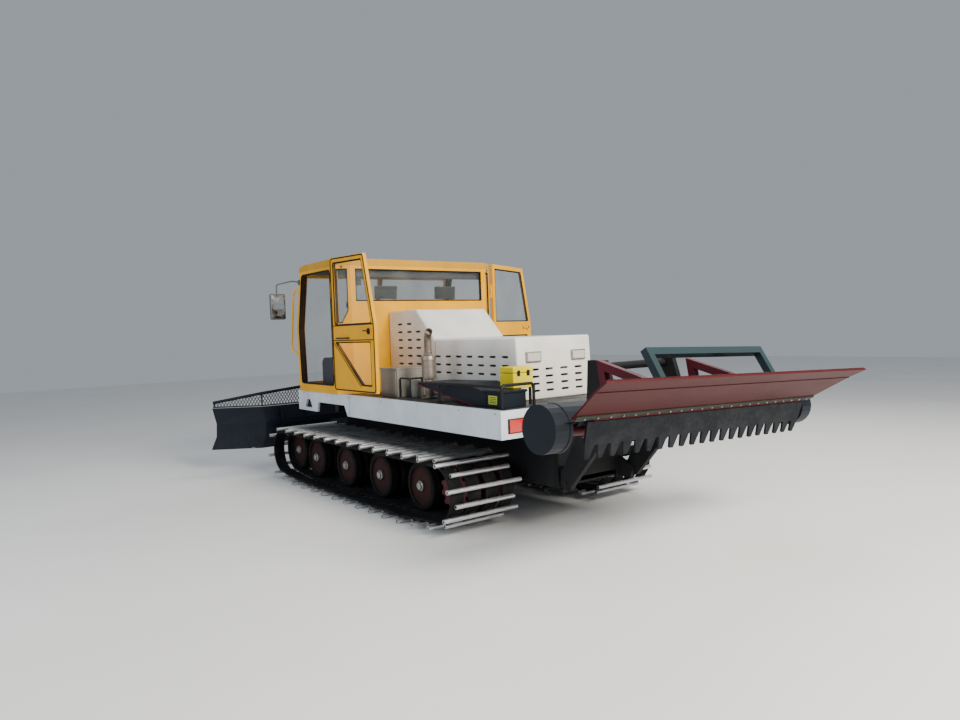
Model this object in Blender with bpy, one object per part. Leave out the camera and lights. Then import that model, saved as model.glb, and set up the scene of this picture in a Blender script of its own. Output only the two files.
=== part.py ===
"""Snowcat groomer: a tracked snow machine with a glazed cab, a front blade and a rear tiller.

Lengths are in metres. The machine stands on z = 0 in "machine" coordinates, with +Z up, the
blade towards -Y, the tiller towards +Y, the driver's left at +X and y = 0 at the cab's rear
wall. The object's own origin is a datum on the rear deck, at DATUM.
"""

import math

import bmesh
import bpy
from mathutils import Matrix, Vector

# ---------------------------------------------------------------- clearances
SEAT_GAP = 0.0003          # between pieces that rest on each other
PIN_GAP = 0.0003           # around a pin or a rod that slides
SWING_GAP = 0.007          # between a closed door and its pillar

# ---------------------------------------------------------------- deck and skirts
DECK_TOP = 1.145
DECK_THICKNESS = 0.030
DECK_FRONT = -1.267
DECK_REAR = 2.854
SKIRT_OUTER_X = 1.115
SKIRT_THICKNESS = 0.025
SKIRT_BOTTOM = 0.904
REAR_PLATE_MARGIN = 0.005      # from the hood's rear wall to the loose deck plate
REAR_PLATE_LEFT_X = 0.550      # the loose deck plate behind the hood reaches this far to the left
DATUM = Vector((0.0, 2.60, DECK_TOP))

# ---------------------------------------------------------------- cab
CAB_HALF_WIDTH = 1.130
CAB_POST_HALF_WIDTH = 0.968
CAB_CORNER_Y = -0.120
CAB_FRONT_SILL_Y = -1.173
CAB_FRONT_BELT_Y = -1.200
CAB_FRONT_TOP_Y = -1.040
CAB_FLOOR_THICKNESS = 0.045
CAB_SIDE_THICKNESS = 0.060
CAB_WALL_THICKNESS = 0.040
PILLAR_WIDTH = 0.080
SILL_HEIGHT = 0.060
BELT_Z = 1.923
CAB_SIDE_TOP = 2.620
ROOF_TOP = 2.700
REAR_GLASS_HALF_WIDTH = 0.908
REAR_GLASS_BOTTOM = 2.209
REAR_GLASS_TOP = 2.585
GLASS_THICKNESS = 0.008

# ---------------------------------------------------------------- doors
DOOR_THICKNESS = 0.036
DOOR_LENGTH = 0.990
DOOR_TOP_LENGTH = 0.800
DOOR_BOTTOM = 1.200
DOOR_TOP = 2.700
DOOR_STILE = 0.090
HINGE_RADIUS = 0.014
HINGE_KNUCKLE = 0.080
LEFT_DOOR_OPEN = math.radians(180.0)
RIGHT_DOOR_OPEN = math.radians(71.0)
DOOR_AXIS_X = CAB_HALF_WIDTH + SWING_GAP + DOOR_THICKNESS / 2
DOOR_AXIS_Y = -0.110

# ---------------------------------------------------------------- engine hood
HOOD_HALF_WIDTH = 0.487
HOOD_TALL_TOP = 2.082
HOOD_LOW_TOP = 1.744
HOOD_RIDGE_Y = 0.607
HOOD_STEP_Y = 0.959
HOOD_REAR_TOP_Y = 2.326
HOOD_REAR_BOTTOM_Y = 2.356
HOOD_THICKNESS = 0.015
HOOD_EDGE_RADIUS = 0.030

# ---------------------------------------------------------------- deck fittings
MUFFLER_RADIUS = 0.072
BATTERY_INNER_X = 0.730
BATTERY_LID_TOP = 1.300
BATTERY_FRONT_Y = 2.470
TOOL_BOX_INNER_X = 0.560
TOOL_BOX_OVERLAP = 0.060       # how far the tool box rests on the battery's lid
TOOL_BOX_TOP = 1.488
HANDRAIL_INNER_X = 0.700
HANDRAIL_OUTER_X = 1.055
HANDRAIL_FRONT_Y = 1.860
HANDRAIL_Z = 1.352

# ---------------------------------------------------------------- tracks
TRACK_CENTRE_X = 0.9575
TRACK_WIDTH = 0.827
TRACK_BELT_WIDTH = 0.707
SHORT_BAR_SHARE = 0.79
BAR_SIZE = 0.055
BAR_COUNT = 64
BELT_THICKNESS = 0.020
WHEEL_PATH_RADIUS = 0.290      # from a wheel's centre to the middle of the bars around it
SPROCKET_Y = 2.110
SPROCKET_Z = 0.368
IDLER_Y = -1.430
IDLER_Z = 0.360
LAST_WHEEL_Y = 1.500
WHEEL_PITCH = 0.800
WHEEL_COUNT = 4
WHEEL_WIDTH = 0.240
WHEEL_Z = BAR_SIZE / 2 + WHEEL_PATH_RADIUS
BELT_INNER_RADIUS = WHEEL_PATH_RADIUS - BAR_SIZE / 2 - BELT_THICKNESS
WHEEL_RADIUS = BELT_INNER_RADIUS - SEAT_GAP
SPROCKET_RADIUS = 0.205
AXLE_RADIUS = 0.045

# ---------------------------------------------------------------- frame
RAIL_OUTER_X = 0.420
RAIL_THICKNESS = 0.080
RAIL_BOTTOM = 0.380
RAIL_TOP = 0.950
RAIL_FRONT = -1.300
RAIL_REAR = 2.780
OUTRIGGER_Z = 0.970
CROSS_MEMBERS = (-1.26, -0.30, 0.70, 1.70, 2.74)
CROSS_MEMBER_DEPTH = 0.080

# ---------------------------------------------------------------- blade
BLADE_PIVOT = Vector((0.0, -1.150, 0.500))
BLADE_SWING = Vector((0.0, -1.990, 0.500))
BLADE_Y = -2.200
BLADE_HALF_WIDTH = 1.250
BLADE_BOTTOM = 0.316
BLADE_TOP = 0.886
BLADE_CREASE = 0.674
BLADE_CURVE = 0.070
BLADE_THICKNESS = 0.025
WING_LENGTH = 0.660
WING_ANGLE = math.radians(35.0)
GUARD_TOPS = ((0.45, 1.165), (1.25, 1.093))     # height of the guard's rail at these |x|
GUARD_TIP_TOP = 0.985
GUARD_RAIL = 0.045
PUSH_ARM_X = 0.465
PUSH_ARM_WIDTH = 0.060
BLADE_BARREL_FOOT = Vector((0.0, -1.370, 0.970))
BLADE_ROD_EYE = Vector((0.0, -1.860, 0.700))
BLADE_BARREL_LENGTH = 0.420
BLADE_ROD_OVERLAP = 0.195

# ---------------------------------------------------------------- tiller
LIFT_PIVOT = Vector((0.0, 2.900, 0.450))
LIFT_PLATE_X = 0.430
LIFT_PLATE_THICKNESS = 0.050
ROLL_PIVOT = Vector((0.0, 3.500, 1.240))
ROLL_ANGLE = math.radians(-2.0)
YOKE_X = 0.570
YOKE_TUBE = 0.065
YOKE_FOOT_Z = 1.312
ROTOR_AXIS = Vector((0.0, 3.870, 1.080))
ROTOR_TUBE_RADIUS = 0.070
ROTOR_TIP_RADIUS = 0.138
ROTOR_STAR_COUNT = 13
HOUSING_HALF_WIDTH = 1.450
HOUSING_RADIUS = 0.158
HOUSING_THICKNESS = 0.016
DRIVE_RADIUS = 0.172
DRIVE_DEPTH = 0.120
BOARD_LIP = (4.070, 1.148, 1.485)       # y, z and half width of the board's front edge
BOARD_CREASE = (4.400, 1.357, 1.593)
BOARD_TAIL = (4.520, 1.420, 1.630)
BOARD_THICKNESS = 0.014
BOARD_HINGE_REACH = 0.008
BOARD_HINGE_BOTTOM = 1.138
HOOP_HALF_WIDTH = 0.705
HOOP_TOP = (4.056, 1.590)
HOOP_TUBE = 0.060
COMB_TOP = (4.078, BOARD_HINGE_BOTTOM - SEAT_GAP)
COMB_TIP = (3.990, 0.870)
COMB_HALF_WIDTH = 1.360
COMB_TOOTH_PITCH = 0.125
COMB_TOOTH_LENGTH = 0.105
COMB_THICKNESS = 0.018
LIFT_BARREL_FOOT = Vector((0.0, 2.600, 0.820))
LIFT_ROD_EYE = Vector((0.0, 3.240, 1.190))
LIFT_BARREL_LENGTH = 0.645
LIFT_ROD_OVERLAP = 0.367       # how much of the rod is in its barrel at rest

# ---------------------------------------------------------------- cylinders
BARREL_RADIUS = 0.045
ROD_RADIUS = 0.025
EYE_RADIUS = 0.040
EYE_WIDTH = 0.084
LUG_GAP = 0.010
LUG_THICKNESS = 0.022
FOOT_PIN_RADIUS = 0.018
BLADE_PIN_RADIUS = 0.026
LIFT_PIN_RADIUS = 0.022
SWING_PIN_RADIUS = 0.030
ROLL_PIN_RADIUS = 0.028


# ================================================================ mesh tools
def clear_scene():
    for item in list(bpy.data.objects):
        bpy.data.objects.remove(item, do_unlink=True)


def finish(mesh):
    """Point the faces out."""
    bmesh.ops.recalc_face_normals(mesh, faces=mesh.faces)
    return mesh


def box(low, high):
    mesh = bmesh.new()
    low = Vector(low)
    high = Vector(high)
    size = high - low
    place = Matrix.Translation((low + high) / 2) @ Matrix.Diagonal((*size, 1.0))
    bmesh.ops.create_cube(mesh, size=1.0, matrix=place)
    return mesh


def prism(outline, axis, start, end):
    """Extrude an outline along an axis; the outline holds the other two coordinates in order."""
    mesh = bmesh.new()
    spots = {"X": lambda a, b: (start, a, b), "Y": lambda a, b: (a, start, b), "Z": lambda a, b: (a, b, start)}
    along = {"X": (1, 0, 0), "Y": (0, 1, 0), "Z": (0, 0, 1)}[axis]
    corners = [mesh.verts.new(spots[axis](a, b)) for a, b in outline]
    face = mesh.faces.new(corners)
    grown = bmesh.ops.extrude_face_region(mesh, geom=[face])
    moved = [item for item in grown["geom"] if isinstance(item, bmesh.types.BMVert)]
    bmesh.ops.translate(mesh, verts=moved, vec=Vector(along) * (end - start))
    return finish(mesh)


def rod(first, second, radius, sides=12, tip_radius=None, turn=0.0):
    """A round bar between two points."""
    first = Vector(first)
    second = Vector(second)
    run = second - first
    mesh = bmesh.new()
    spin = Matrix.Rotation(turn, 4, "Z")
    aim = run.to_track_quat("Z", "Y").to_matrix().to_4x4()
    place = Matrix.Translation((first + second) / 2) @ aim @ spin
    bmesh.ops.create_cone(
        mesh,
        cap_ends=True,
        segments=sides,
        radius1=radius,
        radius2=radius if tip_radius is None else tip_radius,
        depth=run.length,
        matrix=place,
    )
    return finish(mesh)


def cross_rod(y, z, x_start, x_end, radius, sides=12):
    """A round bar along X, with one corner pointing straight down."""
    return prism(circle(y, z, radius, sides), "X", x_start, x_end)


def hole_radius(pin_radius, sides):
    """Radius of a faceted hole whose flats clear a pin at any turn."""
    return (pin_radius + PIN_GAP) / math.cos(math.pi / sides)


def circle(a, b, radius, sides=24, first=-math.pi / 2):
    return [
        (a + radius * math.cos(first + math.tau * i / sides), b + radius * math.sin(first + math.tau * i / sides))
        for i in range(sides)
    ]


def sweep(path, radius, sides=8, square=False):
    """A bar that follows a path, with mitred corners."""
    points = [Vector(p) for p in path]
    count = 4 if square else sides
    reach = radius * math.sqrt(2.0) if square else radius
    turn = math.pi / 4 if square else 0.0
    mesh = bmesh.new()
    rings = []
    first_run = (points[1] - points[0]).normalized()
    helper = Vector((0, 0, 1)) if abs(first_run.z) < 0.9 else Vector((1, 0, 0))
    side = first_run.cross(helper).normalized()
    for index, point in enumerate(points):
        before = (point - points[index - 1]).normalized() if index else first_run
        after = (points[index + 1] - point).normalized() if index + 1 < len(points) else before
        run = before
        up = run.cross(side)
        mitre = (before + after).normalized()
        ring = []
        for step in range(count):
            angle = turn + math.tau * step / count
            arm = side * math.cos(angle) * reach + up * math.sin(angle) * reach
            arm = arm - run * (arm.dot(mitre) / run.dot(mitre))
            ring.append(mesh.verts.new(point + arm))
        rings.append(ring)
        side.rotate(before.rotation_difference(after))
    for low, high in zip(rings, rings[1:]):
        for step in range(count):
            after = (step + 1) % count
            mesh.faces.new((low[step], low[after], high[after], high[step]))
    mesh.faces.new(rings[0])
    mesh.faces.new(rings[-1])
    return finish(mesh)


def combine(first, second, operation):
    """Boolean of two closed meshes; both inputs are used up."""
    holders = []
    for label, mesh in (("combine_base", first), ("combine_tool", second)):
        data = bpy.data.meshes.new(label)
        mesh.to_mesh(data)
        mesh.free()
        holder = bpy.data.objects.new(label, data)
        bpy.context.scene.collection.objects.link(holder)
        holders.append(holder)
    base, tool = holders
    modifier = base.modifiers.new("combine", "BOOLEAN")
    modifier.operation = operation
    modifier.solver = "EXACT"
    modifier.object = tool
    graph = bpy.context.evaluated_depsgraph_get()
    data = bpy.data.meshes.new_from_object(base.evaluated_get(graph))
    result = bmesh.new()
    result.from_mesh(data)
    for holder in holders:
        old = holder.data
        bpy.data.objects.remove(holder, do_unlink=True)
        bpy.data.meshes.remove(old)
    bpy.data.meshes.remove(data)
    return result


def join(first, *others):
    for other in others:
        first = combine(first, other, "UNION")
    return first


def cut(first, *others):
    for other in others:
        first = combine(first, other, "DIFFERENCE")
    return first


def common(first, second):
    return combine(first, second, "INTERSECT")


def gather(meshes):
    """Several meshes in one, for a cut or a union in a single step."""
    whole = bmesh.new()
    for mesh in meshes:
        data = bpy.data.meshes.new("gather")
        mesh.to_mesh(data)
        mesh.free()
        whole.from_mesh(data)
        bpy.data.meshes.remove(data)
    return whole


def mirrored(mesh):
    bmesh.ops.scale(mesh, verts=mesh.verts, vec=(-1, 1, 1))
    return finish(mesh)


def frame_of(point, run):
    """Turn that carries +Y onto a run in the YZ plane."""
    return Matrix.Translation(point) @ Matrix.Rotation(math.atan2(run[1], run[0]), 4, "X")


def hull(points):
    """Convex outline around points, anticlockwise."""
    ordered = sorted(set((round(a, 7), round(b, 7)) for a, b in points))

    def turn(o, a, b):
        return (a[0] - o[0]) * (b[1] - o[1]) - (a[1] - o[1]) * (b[0] - o[0])

    def half(sequence):
        chain = []
        for point in sequence:
            while len(chain) > 1 and turn(chain[-2], chain[-1], point) <= 1e-9:
                chain.pop()
            chain.append(point)
        return chain

    low = half(ordered)
    high = half(reversed(ordered))
    return low[:-1] + high[:-1]


def shift_outline(outline, distance):
    """Move an open line sideways by a distance, to the left of its direction."""
    moved = []
    for index, point in enumerate(outline):
        here = Vector(point)
        before = (here - Vector(outline[index - 1])).normalized() if index else None
        after = (Vector(outline[index + 1]) - here).normalized() if index + 1 < len(outline) else None
        before = before or after
        after = after or before
        left_before = Vector((-before.y, before.x))
        left_after = Vector((-after.y, after.x))
        middle = (left_before + left_after).normalized()
        moved.append(tuple(here + middle * (distance / middle.dot(left_before))))
    return moved


def band(line, thickness):
    """Closed outline of a sheet whose right-hand face follows the line."""
    return list(line) + list(reversed(shift_outline(line, thickness)))


# ================================================================ scene tools
def material(name, colour, roughness, metallic=0.0, alpha=1.0):
    made = bpy.data.materials.new(name)
    made.use_nodes = True
    shader = made.node_tree.nodes["Principled BSDF"]
    shader.inputs["Base Color"].default_value = (*colour, 1.0)
    shader.inputs["Roughness"].default_value = roughness
    shader.inputs["Metallic"].default_value = metallic
    shader.inputs["Alpha"].default_value = alpha
    return made


class Body:
    """A rigid group of pieces, held by an empty on the axis that it turns about."""

    def __init__(self, name, pivot=(0, 0, 0), parent=None, turn=(0, 0, 0)):
        self.pivot = Vector(pivot)
        self.empty = bpy.data.objects.new(name + "_pivot", None)
        bpy.context.scene.collection.objects.link(self.empty)
        self.empty.rotation_euler = turn
        if parent is None:
            self.empty.location = self.pivot - DATUM
        else:
            self.empty.parent = parent.empty
            self.empty.location = self.pivot - parent.pivot

    def add(self, name, mesh, look, smooth=None):
        bmesh.ops.remove_doubles(mesh, verts=mesh.verts, dist=0.00001)
        bmesh.ops.translate(mesh, verts=mesh.verts, vec=-self.pivot)
        data = bpy.data.meshes.new(name)
        mesh.to_mesh(data)
        mesh.free()
        data.materials.append(look)
        if smooth is not None:
            data.shade_smooth()
            data.set_sharp_from_angle(angle=math.radians(smooth))
        piece = bpy.data.objects.new(name, data)
        bpy.context.scene.collection.objects.link(piece)
        piece.parent = self.empty
        return piece


clear_scene()

YELLOW = material("yellow_paint", (0.86, 0.52, 0.05), 0.35)
WHITE = material("white_paint", (0.80, 0.81, 0.82), 0.40)
BLACK = material("black_paint", (0.03, 0.03, 0.035), 0.45)
RED = material("red_paint", (0.30, 0.03, 0.04), 0.45)
DARK_RED = material("dark_red_paint", (0.22, 0.02, 0.03), 0.50)
GREY = material("grey_steel", (0.30, 0.32, 0.33), 0.45, 0.6)
BRIGHT = material("bright_bar", (0.62, 0.63, 0.64), 0.35, 0.9)
RUBBER = material("rubber", (0.03, 0.03, 0.03), 0.85)
GLASS = material("window_glass", (0.55, 0.62, 0.60), 0.05, 0.0, 0.3)
CLOTH = material("seat_cloth", (0.05, 0.05, 0.06), 0.9)
TRIM = material("cab_trim", (0.12, 0.10, 0.13), 0.7)
STEEL = material("worn_steel", (0.45, 0.44, 0.42), 0.4, 0.9)
SIGNAL = material("signal_yellow", (0.80, 0.72, 0.05), 0.5)

chassis = Body("chassis")


# ================================================================ cylinders
def lug_pair(pin, back_low, back_high):
    """Two plates that hold a pin's ends, each drawn from around the pin back to what carries it."""
    across = EYE_WIDTH / 2 + LUG_GAP
    outline = hull(circle(pin.y, pin.z, EYE_RADIUS, 12) + [back_low, back_high])
    plates = []
    for side in (-1, 1):
        inner = side * across
        outer = side * (across + LUG_THICKNESS)
        plates.append(prism(outline, "X", min(inner, outer), max(inner, outer)))
    return plates


def foot_pin(pin):
    """The pin through both lugs and a barrel's foot eye."""
    reach = EYE_WIDTH / 2 + LUG_GAP + LUG_THICKNESS + 0.010
    return cross_rod(pin.y, pin.z, -reach, reach, FOOT_PIN_RADIUS, 12)


def barrel_mesh(foot, eye, length):
    """A cylinder barrel with its foot eye, bored for the rod from its open end."""
    run = (eye - foot).normalized()
    shell = rod(foot + run * (EYE_RADIUS * 0.6), foot + run * length, BARREL_RADIUS, 16)
    foot_eye = cross_rod(foot.y, foot.z, -EYE_WIDTH / 2, EYE_WIDTH / 2, EYE_RADIUS, 16)
    shell = join(shell, foot_eye)
    shell = cut(shell, cross_rod(foot.y, foot.z, -1.0, 1.0, hole_radius(FOOT_PIN_RADIUS, 12), 12))
    bore = rod(foot + run * (length * 0.22), foot + run * (length + 0.05), ROD_RADIUS + PIN_GAP, 16)
    return cut(shell, bore)


def rod_mesh(foot, eye, barrel_length, overlap):
    """The piston rod, from inside its barrel to the eye at its end."""
    run = (eye - foot).normalized()
    start = foot + run * (barrel_length - overlap)
    shaft = rod(start, eye, ROD_RADIUS, 16)
    end_eye = cross_rod(eye.y, eye.z, -EYE_WIDTH / 2, EYE_WIDTH / 2, EYE_RADIUS, 16)
    return join(shaft, end_eye)


# ================================================================ frame and deck
def build_frame():
    rail_inner = RAIL_OUTER_X - RAIL_THICKNESS
    parts = []
    for side in (-1, 1):
        low_x = min(side * rail_inner, side * RAIL_OUTER_X)
        high_x = max(side * rail_inner, side * RAIL_OUTER_X)
        parts.append(box((low_x, RAIL_FRONT, RAIL_BOTTOM), (high_x, RAIL_REAR, RAIL_TOP)))
    frame = join(parts[0], parts[1])
    belly = box((-rail_inner - 0.02, RAIL_FRONT + 0.02, RAIL_BOTTOM + 0.005),
                (rail_inner + 0.02, RAIL_REAR - 0.02, RAIL_BOTTOM + 0.025))
    frame = join(frame, belly)
    half = CROSS_MEMBER_DEPTH / 2
    wide = SKIRT_OUTER_X - SKIRT_THICKNESS - 0.03
    for y in CROSS_MEMBERS:
        web = box((-rail_inner - 0.01, y - half + 0.004, RAIL_BOTTOM + 0.07), (rail_inner + 0.01, y + half - 0.004, RAIL_TOP - 0.01))
        frame = join(frame, web)
        arm = box((-wide, y - half, RAIL_TOP - 0.02), (wide, y + half, DECK_TOP - DECK_THICKNESS - SEAT_GAP))
        frame = join(frame, arm)
    frame = cut(frame, box((-0.12, RAIL_REAR - 0.12, OUTRIGGER_Z - 0.25), (0.12, RAIL_REAR + 0.1, DECK_TOP)))
    rear_wall = CROSS_MEMBERS[-1] - half + 0.015
    for plate in lug_pair(LIFT_BARREL_FOOT, (rear_wall, 0.560), (rear_wall, 0.700)):
        frame = join(frame, plate)
    for plate in lug_pair(BLADE_BARREL_FOOT, (RAIL_FRONT + 0.02, 0.860), (RAIL_FRONT + 0.02, 1.080)):
        frame = join(frame, plate)
    frame = join(frame, box((-0.11, RAIL_FRONT - 0.015, 0.84), (0.11, RAIL_FRONT + 0.06, 1.10)))
    frame = join(frame, foot_pin(LIFT_BARREL_FOOT), foot_pin(BLADE_BARREL_FOOT))
    for side in (-1, 1):
        inner = side * (RAIL_OUTER_X - 0.06)
        outer = side * (LIFT_PLATE_X - LIFT_PLATE_THICKNESS / 2 - 0.006)
        lug = prism(
            [(RAIL_REAR - 0.05, 0.60), (RAIL_REAR - 0.05, RAIL_BOTTOM), (LIFT_PIVOT.y + 0.03, 0.395),
             (LIFT_PIVOT.y + 0.05, 0.45), (LIFT_PIVOT.y + 0.03, 0.505)],
            "X", min(inner, outer), max(inner, outer))
        frame = join(frame, lug)
        pin = cross_rod(LIFT_PIVOT.y, LIFT_PIVOT.z, min(side * 0.37, side * 0.462), max(side * 0.37, side * 0.462), LIFT_PIN_RADIUS, 16)
        frame = join(frame, pin)
        pin = cross_rod(BLADE_PIVOT.y, BLADE_PIVOT.z, min(side * 0.40, side * 0.505), max(side * 0.40, side * 0.505), BLADE_PIN_RADIUS, 16)
        frame = join(frame, pin)
    chassis.add("chassis_frame", frame, BLACK)


def build_deck():
    inner = SKIRT_OUTER_X - SKIRT_THICKNESS - SEAT_GAP
    rear = DECK_REAR - SKIRT_THICKNESS - SEAT_GAP
    bottom = DECK_TOP - DECK_THICKNESS
    plate = box((-inner, DECK_FRONT, bottom), (inner, rear, DECK_TOP))
    rear_plate_front = HOOD_REAR_BOTTOM_Y + REAR_PLATE_MARGIN
    recess = box((-inner - 0.1, rear_plate_front - SEAT_GAP, bottom - 0.1), (REAR_PLATE_LEFT_X + SEAT_GAP, rear + 0.1, DECK_TOP + 0.1))
    chassis.add("deck_plate", cut(plate, recess), GREY)
    rear_plate = box((-inner, rear_plate_front, bottom), (REAR_PLATE_LEFT_X, rear, DECK_TOP))
    chassis.add("rear_deck_plate", rear_plate, GREY)
    notch_bottom = 1.023
    outline = [
        (DECK_FRONT, SKIRT_BOTTOM), (DECK_FRONT, DECK_TOP), (DECK_REAR, DECK_TOP), (DECK_REAR, SKIRT_BOTTOM),
        (0.075, SKIRT_BOTTOM), (0.005, notch_bottom), (-0.690, notch_bottom), (-0.715, SKIRT_BOTTOM),
    ]
    arch_y = -0.968
    arch_z = 0.985
    arch_radius = 0.070
    arch = [(arch_y - 0.100, 0.945), (arch_y + 0.100, 0.945), (arch_y + 0.085, arch_z)]
    arch += [(arch_y + arch_radius * math.cos(a), arch_z + arch_radius * math.sin(a))
             for a in (math.pi / 4, math.pi / 2, 3 * math.pi / 4)]
    arch += [(arch_y - 0.085, arch_z)]
    for name, side in (("left_skirt", 1), ("right_skirt", -1)):
        near = side * (SKIRT_OUTER_X - SKIRT_THICKNESS)
        far = side * SKIRT_OUTER_X
        sheet = prism(outline, "X", min(near, far), max(near, far))
        hole = prism(arch, "X", min(near, far) - 0.02, max(near, far) + 0.02)
        chassis.add(name, cut(sheet, hole), WHITE)
    rear_sheet = box((-inner, DECK_REAR - SKIRT_THICKNESS, SKIRT_BOTTOM), (inner, DECK_REAR, DECK_TOP))
    notch = box((-0.17, DECK_REAR - 0.1, SKIRT_BOTTOM - 0.05), (0.17, DECK_REAR + 0.05, 1.070))
    chassis.add("rear_skirt", cut(rear_sheet, notch), WHITE)


# ================================================================ cab
def cab_outline(grow=0.0):
    """Plan of the cab, seen from above."""
    front = CAB_FRONT_SILL_Y - grow
    wide = CAB_HALF_WIDTH + grow
    post = CAB_POST_HALF_WIDTH + grow
    return [(-wide, front), (wide, front), (wide, CAB_CORNER_Y + grow), (post, grow), (-post, grow), (-wide, CAB_CORNER_Y + grow)]


def rear_strip():
    """Plan of the rear wall, which turns in at both corners."""
    line = [
        (CAB_HALF_WIDTH, CAB_CORNER_Y), (CAB_POST_HALF_WIDTH, 0.0),
        (-CAB_POST_HALF_WIDTH, 0.0), (-CAB_HALF_WIDTH, CAB_CORNER_Y),
    ]
    return line


def build_cab():
    floor_bottom = DECK_TOP + SEAT_GAP
    floor_top = DECK_TOP + CAB_FLOOR_THICKNESS
    chassis.add("cab_floor", prism(cab_outline(), "Z", floor_bottom, floor_top), YELLOW)

    wall_bottom = floor_top + SEAT_GAP
    wall_top = CAB_SIDE_TOP
    wall = prism(band(rear_strip(), CAB_WALL_THICKNESS), "Z", wall_bottom, wall_top)
    wall = cut(wall, box((-1.5, -0.5, wall_bottom - 0.1), (1.5, CAB_CORNER_Y, wall_top + 0.1)))
    window = box((-REAR_GLASS_HALF_WIDTH, -0.2, REAR_GLASS_BOTTOM), (REAR_GLASS_HALF_WIDTH, 0.1, REAR_GLASS_TOP))
    wall = cut(wall, window)
    for side in (1, -1):
        wall = cut(wall, quarter_prism(side, -0.05, 0.09, 0.0))
    chassis.add("cab_rear_wall", wall, YELLOW)
    slit = SEAT_GAP
    pane = box(
        (-REAR_GLASS_HALF_WIDTH + slit, -CAB_WALL_THICKNESS / 2 - GLASS_THICKNESS / 2, REAR_GLASS_BOTTOM + slit),
        (REAR_GLASS_HALF_WIDTH - slit, -CAB_WALL_THICKNESS / 2 + GLASS_THICKNESS / 2, REAR_GLASS_TOP - slit))
    chassis.add("rear_window", pane, GLASS)
    for name, side in (("left_quarter_window", 1), ("right_quarter_window", -1)):
        middle = CAB_WALL_THICKNESS / 2
        glass = quarter_prism(side, middle - GLASS_THICKNESS / 2, middle + GLASS_THICKNESS / 2, slit)
        chassis.add(name, glass, GLASS)

    side_rear = CAB_CORNER_Y - SEAT_GAP
    side_bottom = wall_bottom
    outer = [
        (side_rear, side_bottom), (side_rear, wall_top), (CAB_FRONT_TOP_Y, wall_top),
        (CAB_FRONT_BELT_Y, BELT_Z), (CAB_FRONT_SILL_Y, side_bottom),
    ]
    inner = [
        (side_rear - PILLAR_WIDTH, side_bottom + SILL_HEIGHT), (side_rear - PILLAR_WIDTH, wall_top - 0.045),
        (CAB_FRONT_TOP_Y + 0.055, wall_top - 0.045), (CAB_FRONT_BELT_Y + PILLAR_WIDTH, BELT_Z),
        (CAB_FRONT_SILL_Y + PILLAR_WIDTH, side_bottom + SILL_HEIGHT),
    ]
    for name, side in (("cab_left_side", 1), ("cab_right_side", -1)):
        near = CAB_HALF_WIDTH - CAB_SIDE_THICKNESS
        frame = prism(outer, "X", near, CAB_HALF_WIDTH)
        frame = cut(frame, prism(inner, "X", near - 0.05, CAB_HALF_WIDTH + 0.05))
        for bottom in hinge_heights():
            for z in (bottom - 0.050 - SEAT_GAP, bottom + HINGE_KNUCKLE + SEAT_GAP):
                knuckle = rod((DOOR_AXIS_X, DOOR_AXIS_Y, z), (DOOR_AXIS_X, DOOR_AXIS_Y, z + 0.050), HINGE_RADIUS)
                strap = box((CAB_HALF_WIDTH + SEAT_GAP, DOOR_AXIS_Y - 0.016, z), (DOOR_AXIS_X, DOOR_AXIS_Y - 0.004, z + 0.050))
                foot = box((CAB_HALF_WIDTH - 0.010, side_rear - 0.035, z), (CAB_HALF_WIDTH + 0.004, side_rear, z + 0.050))
                strap = join(strap, foot)
                frame = join(frame, join(strap, knuckle))
        rail = sweep(
            [(CAB_HALF_WIDTH - 0.020, CAB_FRONT_TOP_Y - 0.035, 2.390), (CAB_HALF_WIDTH + 0.012, -1.165, 2.405),
             (CAB_HALF_WIDTH + 0.020, -1.215, 2.360), (CAB_HALF_WIDTH + 0.020, -1.330, 1.720),
             (CAB_HALF_WIDTH + 0.012, -1.310, 1.650), (CAB_HALF_WIDTH - 0.020, -1.165, 1.600)],
            0.013)
        frame = join(frame, rail)
        if side < 0:
            frame = mirrored(frame)
        chassis.add(name, frame, YELLOW)

    half = CAB_HALF_WIDTH - CAB_SIDE_THICKNESS - SEAT_GAP
    front_line = [(CAB_FRONT_SILL_Y, wall_bottom), (CAB_FRONT_BELT_Y, BELT_Z), (CAB_FRONT_TOP_Y, wall_top)]
    sheet = prism(band(front_line, -CAB_WALL_THICKNESS), "X", -half, half)
    cuts = []
    for low, high in ((-half + 0.030, -0.030), (0.030, half - 0.030)):
        cuts.append(box((low, -1.4, wall_bottom + SILL_HEIGHT), (high, -0.9, wall_top - 0.070)))
    chassis.add("cab_front_frame", cut(sheet, *cuts), YELLOW)
    inset = [
        (CAB_FRONT_SILL_Y, wall_bottom + 0.030), (CAB_FRONT_BELT_Y, BELT_Z), (CAB_FRONT_TOP_Y - 0.008, wall_top - 0.035)]
    inner_face = shift_outline(inset, -CAB_WALL_THICKNESS - SEAT_GAP)
    chassis.add("windshield", prism(band(inner_face, -GLASS_THICKNESS), "X", -half + 0.012, half - 0.012), GLASS)

    roof_bottom = wall_top + SEAT_GAP
    profile = [(0.012, roof_bottom), (0.012, ROOF_TOP - 0.012), (0.0, ROOF_TOP), (-0.90, ROOF_TOP),
               (CAB_FRONT_TOP_Y - 0.010, ROOF_TOP - 0.030), (CAB_FRONT_TOP_Y - 0.030, roof_bottom)]
    roof = prism(profile, "X", -CAB_HALF_WIDTH - 0.010, CAB_HALF_WIDTH + 0.010)
    roof = common(roof, prism(cab_outline(0.0), "Z", roof_bottom - 0.01, ROOF_TOP + 0.01))
    chassis.add("cab_roof", roof, YELLOW)


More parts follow.
